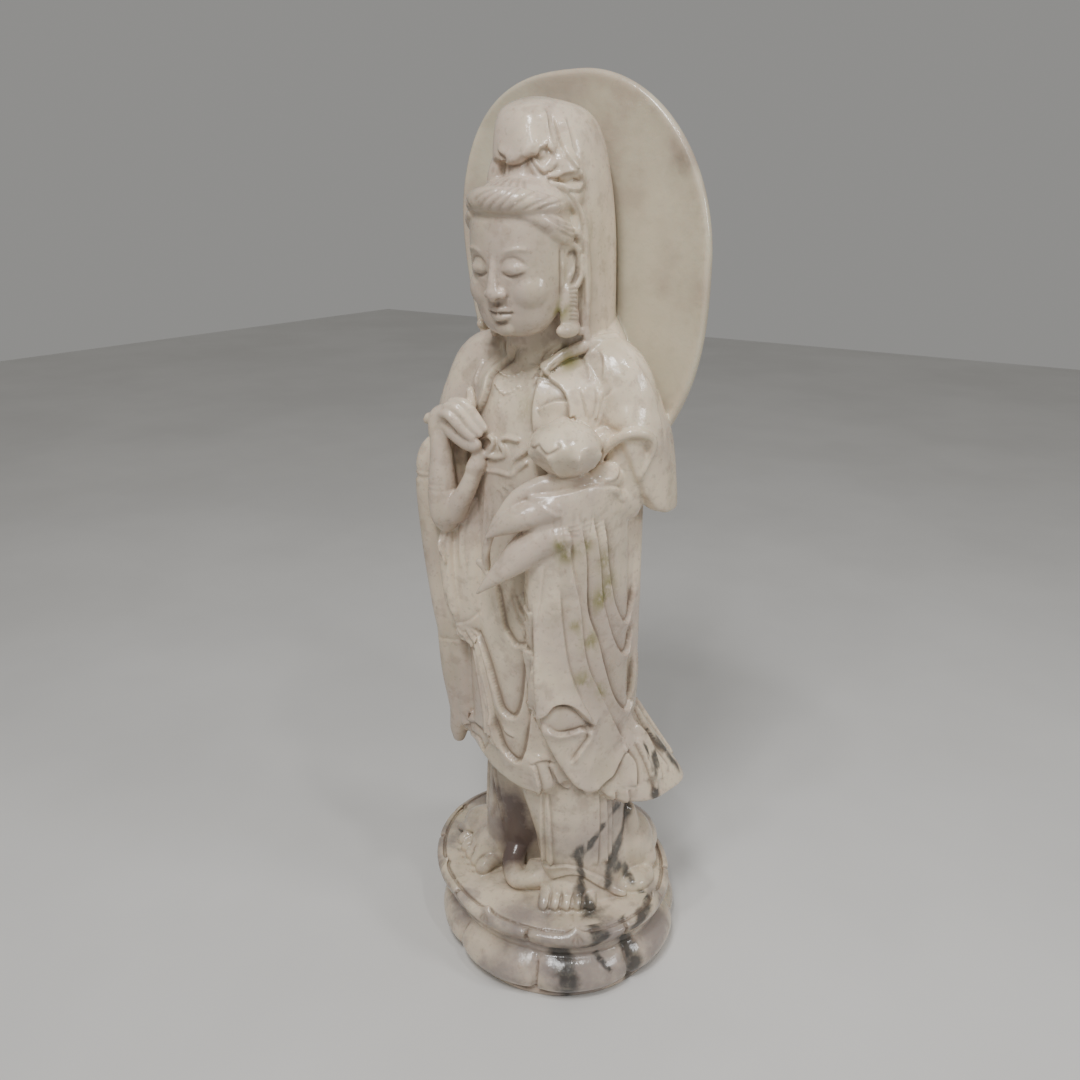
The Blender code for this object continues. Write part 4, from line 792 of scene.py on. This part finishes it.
# Forearm: pinched folds where the cloth turns over it.
cloth_stroke([(57, 748), (68, 746), (74, 754), (77, 766)], height=1.4, width=7, raised=-1, fade=0.3)
cloth_stroke([(54, 743), (66, 738), (71, 734), (78, 725)], height=2, width=8, raised=1, fade=0.3)
cloth_stroke([(62, 736), (70, 727), (74, 717), (79, 713)], height=1.6, width=7, raised=-1, fade=0.3)

# Mantle: edges over the chest, the lapel, and the folds on the shoulder.
cloth_stroke([(-10, 900), (-22, 884), (-36, 857), (-33, 835), (-35, 816), (-41, 798)], height=4.5, width=12,
             raised=1, fade=0.04)
cloth_stroke([(34, 896), (27, 880), (23, 863), (20, 842), (19, 818), (21, 794)], height=3, width=9,
             raised=-1, fade=0.04)
cloth_stroke([(26, 870), (28, 864), (34, 856), (41, 850), (45, 841), (47, 826), (46, 806)], height=3.6,
             width=10, raised=-1, fade=0.04)
cloth_stroke([(23, 822), (30, 829), (38, 834), (47, 835)], height=2.8, width=8, raised=1)
cloth_stroke([(-63, 866), (-56, 853), (-50, 838)], height=2, width=5)
for turns, z in (((72, 67, 63), (893, 874, 858)), ((75, 72, 70), (891, 874, 858)),
                 ((55, 57, 59), (850, 834, 815)), ((66, 65, 63), (850, 831, 812)),
                 ((73, 69, 65), (850, 828, 805))):
    cloth_stroke(list(zip(turns, z)), height=2, width=5, raised=-1)
cloth_stroke([(86, 880), (92, 840), (94, 790)], height=1.6, width=9)

# Inner skirt: flat pleats.
for turn, low, height in ((28, 29, 3), (33, 37, 2.4), (72, 74, 2.6), (78, 82, 3), (85, 87, 2.4)):
    cloth_stroke([(turn, 300), ((turn + low) / 2, 240), (low, 168)], height=height, width=7, fade=0.03)
for turn in (-62, -50, -38):
    cloth_stroke([(turn, 300), (turn, 240), (turn - 2, 190)], height=2, width=6)

# Train and back: long folds.
for k, line in enumerate((((97, 430), (100, 390), (106, 356), (108, 330), (110, 300)),
                          ((109, 396), (110, 357), (113, 320)),
                          ((88, 353), (91, 337), (91, 324), (89, 300)),
                          ((96, 360), (98, 332), (98, 306), (97, 286)),
                          ((104, 380), (106, 340), (104, 296)), ((116, 400), (120, 350), (122, 300)))):
    cloth_stroke(list(line), height=3.6, width=9, raised=1 - 2 * (k % 2), fade=0.06)
for k in range(5):
    turn = 132 + 20 * k
    cloth_stroke([(turn, 660 - 40 * (k % 2)), (turn + 3, 500), (turn - 2, 330)], height=3.4, width=14)

# Plinth: the cut inside the rim of the upper petals and between the lower ones.
turns = np.linspace(0, 2 * math.pi, 241)
rim = oval_reach(turns, UPPER_OVAL) - 11 - 4 * np.exp(-(petal_place(turns) / 0.08) ** 1.2)
for part in range(6):
    span = slice(40 * part, 40 * part + 41)
    skin_stroke(np.stack([UPPER_OVAL["middle"][0] + rim[span] * np.cos(turns[span]),
                          UPPER_OVAL["middle"][1] + rim[span] * np.sin(turns[span]),
                          np.full(41, PLINTH_TOP + 1.0)], -1), height=3.6, width=2.0, fade=0.01)
for k in range(PETALS):
    turn = math.radians(-90 + 360 / PETALS * (k + 0.5))
    aim = np.array([math.cos(turn), math.sin(turn)])
    out, rise = oval_reach(turn, LOWER_OVAL), oval_reach(turn, UPPER_OVAL)
    low, high = np.array(LOWER_OVAL["middle"]), np.array(UPPER_OVAL["middle"])
    skin_stroke([(*(low + aim * (out + add)), z) for add,
                 z in ((-2, 60), (8, 48), (11, 34), (8, 20), (2, 12))],
                height=3.2, width=1.9, fade=0.05)
    skin_stroke([(*(high + aim * (rise + add)), z) for add,
                 z in ((-8, 108), (-1, 104), (-2, 98), (-8, 86))],
                height=2.8, width=2.2, fade=0.05)
    tip = math.radians(-90 + 360 / PETALS * k)
    aim = np.array([math.cos(tip), math.sin(tip)])
    for lean in (-0.035, 0, 0.035):
        side = np.array([math.cos(tip + lean), math.sin(tip + lean)])
        skin_stroke([(*(high + aim * (rise - 8)), 112), (*(high + side * (rise - 1)), 102),
                     (*(high + side * (rise - 4)), 93)],
                    height=1.6, width=1.8, fade=0.3)
base = oval_reach(turns, LOWER_OVAL)
level = 9 + 6 * np.exp(-((1 - petal_place(turns)) / 0.10) ** 2)
for part in range(6):
    span = slice(40 * part, 40 * part + 41)
    skin_stroke(np.stack([LOWER_OVAL["middle"][0] + (base[span] + 2) * np.cos(turns[span]),
                          LOWER_OVAL["middle"][1] + (base[span] + 2) * np.sin(turns[span]),
                          level[span]], -1),
                height=2.6, width=2.2, fade=0.01)

# Face: lids, lash lines, nostrils, the line of the lips and the crease under them.
for side in (-1, 1):
    skin_stroke(in_head([(side * x, y, z) for x, y, z in ((9, -69, -1), (15, -71, -5), (22, -71, -7),
                                                          (29, -68, -6),
                                                         (36, -62, -2))]), height=2.0, width=1.7, fade=0.12)
    skin_stroke(in_head([(side * x, y, z) for x, y, z in ((9, -69, 4), (14, -70, 11), (22, -70, 14),
                                                          (31, -66, 12),
                                                         (38, -58, 3))]), height=1.3, width=2.2, fade=0.12)
    skin_stroke(in_head([(side * 4.5, -80, -33), (side * 7, -79, -33), (side * 9, -77, -31)]), height=2.0,
                width=1.8)
    skin_stroke(in_head([(side * 11, -72, -19), (side * 15, -71, -25), (side * 13, -71, -32)]), height=1.2,
                width=2.0)
    skin_stroke(in_head([(0, -72, -47), (side * 6, -71, -46.4), (side * 12, -68, -47.4),
                         (side * 17, -64, -46)]),
                height=2.2, width=1.5, fade=0.1)
skin_stroke(in_head([(0, -73, -35), (0, -73, -38), (0, -73, -41)]), height=1.0, width=2.4)
skin_stroke(in_head([(-9, -69, -57), (0, -71, -58.5), (9, -69, -57)]), height=1.4, width=3.0)

# Hood: the scalloped edge of its front, and the folds that fall beside it in ruffles.
for edge, height, width, raised in (
    ([(-14, -85, 1109), (-5, -85, 1102), (9, -80, 1097), (21, -79, 1101), (24, -74, 1105), (32, -73, 1109),
      (40, -65, 1109), (46, -62, 1103)], 3.4, 6, -1),
    ([(31, -61, 1147), (38, -63, 1129), (45, -64, 1111), (47, -62, 1101)], 3.6, 7, 1),
    ([(35, -53, 1144), (44, -55, 1126), (49, -53, 1111), (58, -54, 1099), (62, -44, 1086), (65, -36, 1078)],
     2.6, 5, -1),
    ([(45, -44, 1141), (52, -45, 1126), (57, -44, 1108), (62, -43, 1093), (66, -35, 1078)], 3.4, 6, 1),
    ([(24, -76, 1102), (31, -77, 1092), (38, -72, 1083), (43, -64, 1086), (49, -62, 1095)], 3.6, 5, -1),
    ([(41, -72, 1079), (49, -64, 1079), (57, -54, 1084), (63, -42, 1084)], 3.4, 5, -1),
    ([(43, -70, 1078), (50, -65, 1071), (59, -55, 1066), (65, -41, 1066), (65, -33, 1074)], 3.2, 5, -1),
    ([(46, -68, 1074), (56, -60, 1066), (61, -52, 1059), (66, -43, 1046), (68, -38, 1029), (69, -36, 1004),
      (70, -35, 978), (69, -32, 952), (69, -30, 917)], 2.6, 6, -1),
):
    skin_stroke(edge, height=height, width=width, raised=raised, fade=0.1, kind="step")

# The band of cloth over the left foot.
skin_stroke([(32, -71, 126), (60, -65, 151), (87, -52, 158), (107, -28, 131), (128, -8, 111),
             (136, 7, 111)],
            height=3, width=6, raised=-1, kind="step")
skin_stroke([(24, -59, 152), (56, -62, 172), (84, -54, 172), (104, -30, 150), (124, -4, 124)],
            height=2.6, width=6, kind="step")

# Toes: the gaps between them.
for line in toe_lines:
    skin_stroke(line, height=2.6, width=1.8, fade=0.2)

# Hair, ears and bud: incised lines.
for strand in (
    [(-13, -129, 1053), (0, -133, 1062), (15, -130, 1067)], [(-8, -127, 1046), (10, -135, 1059),
                                                             (24, -125, 1068)],
    [(2, -127, 1044), (21, -133, 1057), (34, -117, 1068)], [(14, -127, 1044), (33, -128, 1058),
                                                            (38, -96, 1067)],
    [(26, -126, 1044), (44, -121, 1056), (50, -86, 1064)], [(40, -121, 1044), (56, -110, 1053),
                                                            (57, -74, 1061)],
    [(52, -111, 1045), (62, -95, 1051), (60, -60, 1056)], [(56, -102, 1043), (67, -76, 1032),
                                                           (64, -44, 1028)],
    [(60, -97, 1037), (68, -69, 1025), (67, -48, 1022)], [(63, -90, 1029), (68, -63, 1018),
                                                          (68, -44, 1017)],
):
    skin_stroke(strand, height=1.1, width=1.7, fade=0.2)
    if strand[0][0] > 24:
        skin_stroke([(8 - x, y, z) for x, y, z in strand], height=1.1, width=1.7, fade=0.2)
for k in range(7):
    x = -24 + 9 * k
    skin_stroke([(x * 1.15, -104, 1064), (x, -98, 1080), (x * 0.8 + 1, -94, 1100)], height=1.3, width=2)
for side in (-1, 1):
    skin_stroke([(side * x, y, z) for x, y, z in ((65, -77, 1016), (62, -62, 1011), (65, -46, 1007),
                                                  (67, -38, 991), (63, -33, 965),
                                                  (61, -34, 952))], height=1.4, width=3.0, kind="ridge")
    skin_stroke([(side * x, y, z) for x, y, z in ((61, -60, 997), (62, -48, 1000), (65, -44, 988),
                                                  (63, -45, 972), (62, -59, 964))], height=2.6, width=2.6)
    skin_stroke([(side * x, y, z) for x, y, z in ((63, -72, 1010), (61, -72, 990), (60, -70, 968),
                                                  (60, -68, 950))],
                height=2.0, width=2.2)
    for k in range(8):
        skin_stroke([(side * 70, -62, 962 - 5 * k), (side * 70, -48, 961 - 5 * k),
                     (side * 70, -38, 959 - 5 * k)],
                    height=1.3, width=1.5)
skin_stroke([(44, -122, 803), (52, -128, 793), (60, -131, 791), (66, -131, 799), (72, -131, 793),
             (80, -130, 788), (88, -128, 790), (95, -124, 796), (93, -124, 801),
             (89, -126, 799)], height=2.0, width=1.8)
for k in range(8):
    turn = math.radians(45 * k + 7)
    aim = np.array([math.cos(turn), math.sin(turn)])
    skin_stroke([(79 + aim[0] * r, -86 + aim[1] * r, z) for r, z in ((46, 786), (44, 775), (36, 760))],
                height=1.2, width=3, kind="ridge")

# The block. All the shapes are fused to one stone, softened a little as by polishing, cut with the
# strokes and thinned, and the underside is left as one flat face.

VOXEL = 1.5
TRIANGLES = 197000
MM = 0.001


def block(parts):
    """One list of points and faces, in metres, from several shapes."""
    points, faces, start = [], [], 0
    for p, f in parts:
        points.append(p)
        faces += [tuple(i + start for i in face) for face in f]
        start += len(p)
    return np.vstack(points) * MM, faces


def evaluated(mesh, kind, **settings):
    """The mesh after one modifier."""
    holder = bpy.data.objects.new("holder", mesh)
    bpy.context.scene.collection.objects.link(holder)
    modifier = holder.modifiers.new(kind.lower(), kind)
    for name, value in settings.items():
        setattr(modifier, name, value)
    result = bpy.data.meshes.new_from_object(holder.evaluated_get(bpy.context.evaluated_depsgraph_get()))
    bpy.data.objects.remove(holder)
    bpy.data.meshes.remove(mesh)
    return result


def read(mesh):
    count = len(mesh.vertices)
    points, normals = np.empty(count * 3), np.empty(count * 3)
    mesh.vertices.foreach_get("co", points)
    mesh.vertex_normals.foreach_get("vector", normals)
    return points.reshape(-1, 3), normals.reshape(-1, 3)


carving = bpy.data.meshes.new("carving")
points, faces = block(shapes)
carving.from_pydata(points, [], faces)
carving = evaluated(carving, "REMESH", mode="VOXEL", voxel_size=VOXEL * MM)
carving = evaluated(carving, "SMOOTH", factor=0.5, iterations=4)

drapery = BVHTree.FromPolygons(*block(shapes[:cloth_count]))
fused = BVHTree.FromPolygons([v.co for v in carving.vertices], [f.vertices for f in carving.polygons])


def laid(where, line):
    """The stroke's line laid on the stone, in metres."""
    places = []
    for spot in line:
        if where == "cloth":
            a = math.radians(spot[0])
            out = Vector((math.sin(a), -math.cos(a), 0))
            hit = drapery.ray_cast(out * 0.5 + Vector((0, 0, spot[1] * MM)), -out)[0]
        else:
            hit = fused.find_nearest(Vector(spot) * MM)[0]
        if hit is not None:
            places.append(hit[:])
    return np.array(places)


def profile(d, width, kind):
    """The height across a stroke. d is the distance across it, and all are in millimetres."""
    if kind == "groove":
        return -np.exp(-(d / width) ** 2)
    if kind == "ridge":
        return np.exp(-(d / width) ** 2)
    step = 0.5 + 0.5 * np.tanh(d / 1.2)
    lip = np.exp(-(np.abs(d) / width) ** 1.3)
    foot_cut = 0.40 * np.exp(-(np.abs(d) / (0.6 * width)) ** 1.3) + 0.20 * np.exp(-((d + 1.6) / 1.8) ** 2)
    return step * lip - (1 - step) * foot_cut


def relief(points, normals):
    """How far each point of the stone is lifted or cut by the strokes."""
    lift = np.zeros(len(points))
    for where, line, height, width, raised, fade, kind in strokes:
        places = laid(where, line)
        if len(places) < 3:
            continue
        reach = 2.6 * width * MM
        near = np.all((points > places.min(0) - reach) & (points < places.max(0) + reach), axis=1)
        along = np.gradient(places, axis=0)
        along /= np.maximum(np.linalg.norm(along, axis=1), 1e-9)[:, None]
        share = np.linspace(0, 1, len(places))
        strength = np.clip(np.minimum(share, 1 - share) / max(fade, 1e-3), 0, 1)
        ids = np.nonzero(near)[0]
        for part in np.array_split(ids, max(1, len(ids) // 4000)):
            gap = ((points[part][:, None, :] - places[None]) ** 2).sum(-1)
            nearest = gap.argmin(1)
            close = gap[np.arange(len(part)), nearest] < reach ** 2
            distance = np.sqrt(gap[close, nearest[close]])
            part, nearest = part[close], nearest[close]
            side = np.cross(along[nearest], normals[part]) * raised
            d = ((points[part] - places[nearest]) * side).sum(-1) / MM
            depth = np.exp(-(distance / (1.9 * width * MM)) ** 4)
            lift[part] += height * MM * profile(d, width, kind) * strength[nearest] * depth
    return lift


points, normals = read(carving)
points += normals * relief(points, normals)[:, None]
points[points[:, 2] < 0.6 * VOXEL * MM, 2] = 0
carving.vertices.foreach_set("co", points.ravel())
carving = evaluated(carving, "DECIMATE", ratio=TRIANGLES / (2 * len(carving.polygons)))
points = read(carving)[0]
points[points[:, 2] < 0.4 * MM, 2] = 0
carving.vertices.foreach_set("co", points.ravel())
carving.update()
carving.shade_smooth()
figure = bpy.data.objects.new("carved_guanyin", carving)
bpy.context.scene.collection.objects.link(figure)
carving.materials.clear()
carving.materials.append(stone)
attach(figure, "root")
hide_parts("guanyin_figure")

# Stone. Polished off-white stone with a warm pinkish cast. Pale green patches lie in the drapery, the
# halo is greener, painted shade with some dirt darkens the cuts, painted shade darkens the hollow of the
# skirt between the legs, and dark veins cross the plinth, the left foot and the train.

VEINS = [
    [(97, -112, 70, 15), (110, -122, 46, 17), (118, -124, 26, 15), (117, -119, 2, 12)],
    [(138, -94, 101, 8), (147, -82, 103, 7), (120, -100, 84, 9)],
    [(136, -90, 106, 12), (130, -80, 109, 14), (118, -68, 109, 17), (109, -62, 118, 14), (99, -57, 126, 10),
     (89, -55, 140, 7)],
    [(89, -55, 136, 5), (86, -53, 152, 5), (88, -53, 171, 4), (88, -54, 184, 5), (86, -57, 199, 7),
     (95, -48, 213, 6), (106, -35, 230, 5), (111, -14, 240, 6), (112, 8, 251, 7)],
    [(113, 40, 230, 10), (113, 16, 191, 9), (113, 2, 172, 10), (114, -10, 156, 10), (120, 20, 147, 8),
     (124, 26, 120, 8)],
    [(114, -10, 156, 9), (120, -20, 130, 9), (134, -30, 109, 7), (150, -46, 109, 5)],
    [(154, -41, 76, 10), (164, -39, 50, 14), (174, -38, 27, 14), (172, -37, 2, 13)],
    [(171, -38, 101, 7), (167, 5, 106, 8), (160, 10, 109, 7), (147, 15, 110, 6), (138, 19, 125, 5),
     (132, 24, 129, 5)],
    [(119, -51, 109, 3), (148, -52, 109, 3)],
    [(133, -76, 63, 4), (156, -83, 41, 4)],
    [(128, 30, 372, 3), (141, 54, 347, 5), (160, 66, 322, 7), (172, 84, 296, 7)],
    [(134, 49, 356, 4), (153, 33, 322, 6), (163, 19, 284, 7)],
    [(139, 29, 356, 3), (153, 20, 333, 4), (160, 12, 304, 4)],
    [(100, 118, 60, 12), (88, 150, 30, 14), (80, 160, 4, 12)],
    [(-120, 60, 108, 3), (-180, 40, 106, 4), (-186, 10, 88, 5)],
]
GREEN = [(117, -52, 643, 14), (117, -40, 606, 16), (112, -55, 590, 14), (105, -65, 537, 14),
         (95, -86, 564, 8), (94, -106, 662, 12), (106, -84, 670, 10), (100, -72, 482, 12),
         (108, -44, 457, 10), (91, -115, 677, 8), (56, -65, 938, 12), (50, -38, 878, 16),
         (44, -66, 976, 14), (-50, -80, 960, 10), (20, -90, 830, 14)]
# Painted shade: dark clouds in the deep hollow of the skirt between the legs; the last one lies on the
# halo.
SHADE = [(-28, -58, 241, 26), (-18, -49, 213, 30), (-16, -42, 175, 30), (-27, -51, 149, 24),
         (-58, -60, 250, 20), (-40, -52, 300, 26), (-40, -40, 190, 30), (-30, -64, 124, 22),
         (143, 49, 1093, 13)]


def surface_value(name, values):
    carving.attributes.new(name, "FLOAT", "POINT").data.foreach_set("value", np.asarray(values, np.float32))


def gap_to(line, places):
    """Distance from each place to a line of points, in the line's own half widths."""
    nearest = np.full(len(places), 9.0)
    for a, b in zip(line, line[1:]):
        a, b = np.array(a, float), np.array(b, float)
        run = b[:3] - a[:3]
        share = np.clip(((places - a[:3]) @ run) / (run @ run), 0, 1)
        gap = np.linalg.norm(places - a[:3] - share[:, None] * run, axis=1)
        nearest = np.minimum(nearest, gap / (a[3] + (b[3] - a[3]) * share))
    return nearest


points, normals = read(carving)
places = points / MM
wander = places + 3.2 * np.sin(places[:, (2, 0, 1)] / 9) + 1.6 * np.sin(places[:, (1, 2, 0)] / 3.7)
surface_value("vein", np.min([gap_to(line, wander) for line in VEINS], axis=0))
surface_value("patch", sum(np.exp(-((places - g[:3]) ** 2).sum(1) / g[3] ** 2) for g in GREEN))
surface_value("shade", sum(np.exp(-((places - g[:3]) ** 2).sum(1) / g[3] ** 2) for g in SHADE))
# How deep the strokes cut; it drives painted shade with some dirt in the cuts, and rougher stone there.
surface_value("cut", np.clip(-relief(points, normals) / (2.4 * MM), 0, 1))
surface_value("halo", np.clip((places[:, 1] - 42) / 10, 0, 1) * np.clip((places[:, 2] - 740) / 40, 0, 1))

stone.use_nodes = True
tree = stone.node_tree
shader = tree.nodes["Principled BSDF"]
place = wire(tree, "ShaderNodeTexCoord").outputs["Object"]


def told(name):
    node = tree.nodes.new("ShaderNodeAttribute")
    node.attribute_name = name
    return node.outputs["Fac"]


def clouds(scale, low, high, detail=4, squeeze=(1, 1, 1)):
    """Soft clouds from 0 to 1. low and high set where they begin and where they are full."""
    at = wire(tree, "ShaderNodeMapping", Vector=place, Scale=squeeze)
    noise = wire(tree, "ShaderNodeTexNoise", Vector=at.outputs[0], Scale=scale, Detail=detail,
                 Roughness=0.58)
    return spread(noise.outputs[0], low, high)


def spread(value, low, high):
    node = tree.nodes.new("ShaderNodeMapRange")
    node.interpolation_type = "SMOOTHSTEP"
    tree.links.new(value, node.inputs["Value"])
    node.inputs["From Min"].default_value, node.inputs["From Max"].default_value = low, high
    return node.outputs[0]


def sum_of(a, b, operation="ADD"):
    node = tree.nodes.new("ShaderNodeMath")
    node.operation = operation
    for socket, value in zip(node.inputs, (a, b)):
        if isinstance(value, bpy.types.NodeSocket):
            tree.links.new(value, socket)
        else:
            socket.default_value = value
    return node.outputs[0]


def tint(share, under, over):
    """One colour laid over another."""
    node = tree.nodes.new("ShaderNodeMix")
    node.data_type = "RGBA"
    for socket, value in ((node.inputs[0], share), (node.inputs[6], under), (node.inputs[7], over)):
        if isinstance(value, bpy.types.NodeSocket):
            tree.links.new(value, socket)
        else:
            socket.default_value = value if isinstance(value, float) else (*value, 1)
    return node.outputs[2]


colour = tint(clouds(5, 0.40, 0.60), (0.70, 0.59, 0.445), (0.52, 0.425, 0.345))
colour = tint(sum_of(clouds(14, 0.45, 0.66, squeeze=(1, 1, 0.4)), 0.5, "MULTIPLY"), colour,
              (0.45, 0.385, 0.27))
colour = tint(sum_of(clouds(45, 0.50, 0.66, 6), 0.35, "MULTIPLY"), colour, (0.31, 0.23, 0.18))
colour = tint(sum_of(clouds(150, 0.56, 0.70, 4), 0.30, "MULTIPLY"), colour, (0.26, 0.19, 0.15))
halo_green = tint(clouds(7, 0.42, 0.60), (0.50, 0.45, 0.335), (0.39, 0.325, 0.25))
colour = tint(sum_of(told("halo"), 0.85, "MULTIPLY"), colour, halo_green)
low_down = spread(wire(tree, "ShaderNodeSeparateXYZ", Vector=place).outputs["Z"], 0.34, 0.10)
greyed = sum_of(low_down, clouds(11, 0.44, 0.62, 6), "MULTIPLY")
colour = tint(sum_of(greyed, 0.7, "MULTIPLY"), colour, (0.235, 0.20, 0.19))
patchy = sum_of(told("patch"), clouds(42, 0.36, 0.56, 6, (1.6, 1.6, 0.8)), "MULTIPLY")
colour = tint(patchy, colour, (0.24, 0.22, 0.085))
# Painted shade in the hollow between the legs, broken up by clouds.
recess_shade = sum_of(told("shade"), clouds(13, 0.05, 0.70, 5), "MULTIPLY")
colour = tint(recess_shade, colour, (0.12, 0.086, 0.074))
wavy = sum_of(told("vein"), sum_of(sum_of(clouds(26, 0.25, 0.75, 6), 0.5, "SUBTRACT"), 0.9, "MULTIPLY"))
dark = tint(clouds(55, 0.50, 0.74, 6), (0.035, 0.033, 0.031), (0.20, 0.18, 0.145))
colour = tint(sum_of(spread(wavy, 1.55, 0.50), 0.88, "MULTIPLY"), colour, dark)
# Painted shade with some dirt: the deeper the cut, the darker the stone.
colour = tint(sum_of(told("cut"), 0.72, "MULTIPLY"), colour, (0.16, 0.112, 0.078))
tree.links.new(colour, shader.inputs["Base Color"])
tree.links.new(sum_of(sum_of(clouds(60, 0.35, 0.7), 0.12, "MULTIPLY"),
                      sum_of(sum_of(told("cut"), 0.3, "MULTIPLY"), 0.15)),
               shader.inputs["Roughness"])
shader.inputs["Subsurface Weight"].default_value = 0.08
shader.inputs["Subsurface Scale"].default_value = 0.004
tooled = wire(tree, "ShaderNodeBump", Strength=0.35, Distance=0.0012, Height=clouds(38, 0.2, 0.8, 3))
grain = wire(tree, "ShaderNodeBump", Strength=0.12, Distance=0.0004, Height=clouds(260, 0.2, 0.8, 2),
             Normal=tooled.outputs[0])
tree.links.new(grain.outputs[0], shader.inputs["Normal"])

# Floor. A plain pale sweep for the figure to stand on.

floor = bpy.data.meshes.new("floor")
floor.from_pydata([(-6, -6, 0), (6, -6, 0), (6, 6, 0), (-6, 6, 0)], [], [(0, 1, 2, 3)])
ground = bpy.data.objects.new("floor", floor)
bpy.context.scene.collection.objects.link(ground)
pale = bpy.data.materials.new("pale floor")
pale.use_nodes = True
tree = pale.node_tree
place = wire(tree, "ShaderNodeTexCoord").outputs["Object"]
sweep = tint(clouds(1.3, 0.3, 0.7), (0.72, 0.71, 0.69), (0.66, 0.65, 0.63))
tree.links.new(sweep, tree.nodes["Principled BSDF"].inputs["Base Color"])
tree.nodes["Principled BSDF"].inputs["Roughness"].default_value = 0.7
floor.materials.append(pale)

# Light. A soft panel stands high in front and another beside the figure's left shoulder. Four small
# lamps give the polish its bright points, and the surround is pale.

world = bpy.data.worlds.new("studio")
world.use_nodes = True
world.node_tree.nodes["Background"].inputs["Color"].default_value = (1.0, 0.99, 0.96, 1)
world.node_tree.nodes["Background"].inputs["Strength"].default_value = 0.29
bpy.context.scene.world = world
for spot, size, power in (((0.5, -1.5, 2.9), 0.5, 38), ((2.2, 0.2, 1.7), 0.5, 16),
                          ((0.1, -0.9, 2.5), 0.12, 7), ((1.1, -0.5, 2.6), 0.12, 7),
                          ((0.8, -1.7, 2.2), 0.10, 6), ((0.2, -1.6, 2.1), 0.08, 3)):
    panel = bpy.data.lights.new("panel", "AREA")
    panel.size = size
    panel.energy = power
    lamp = bpy.data.objects.new("panel", panel)
    lamp.location = spot
    lamp.rotation_euler = (Vector((0, 0, 0.6)) - Vector(spot)).to_track_quat("-Z", "Y").to_euler()
    bpy.context.scene.collection.objects.link(lamp)

# Camera. Held a little above the figure's face, 34 degrees to its left, looking down 20 degrees.

TURN, PITCH, DISTANCE = math.radians(34), math.radians(20.2), 1.174
lens = bpy.data.cameras.new("camera")
lens.lens, lens.sensor_width = 31.27, 36
camera = bpy.data.objects.new("camera", lens)
aim = TURN + math.radians(0.67)
level = Vector((-math.sin(aim), math.cos(aim), 0))
right = Vector((math.cos(aim), math.sin(aim), 0))
ahead = level * math.cos(PITCH) - Vector((0, 0, math.sin(PITCH)))
above = right.cross(ahead)
camera.matrix_world = Matrix.Translation((DISTANCE * math.sin(TURN), -DISTANCE * math.cos(TURN),
                                          1.061)) @ Matrix(
    (right, above, -ahead)).transposed().to_4x4()
bpy.context.scene.collection.objects.link(camera)
bpy.context.scene.camera = camera
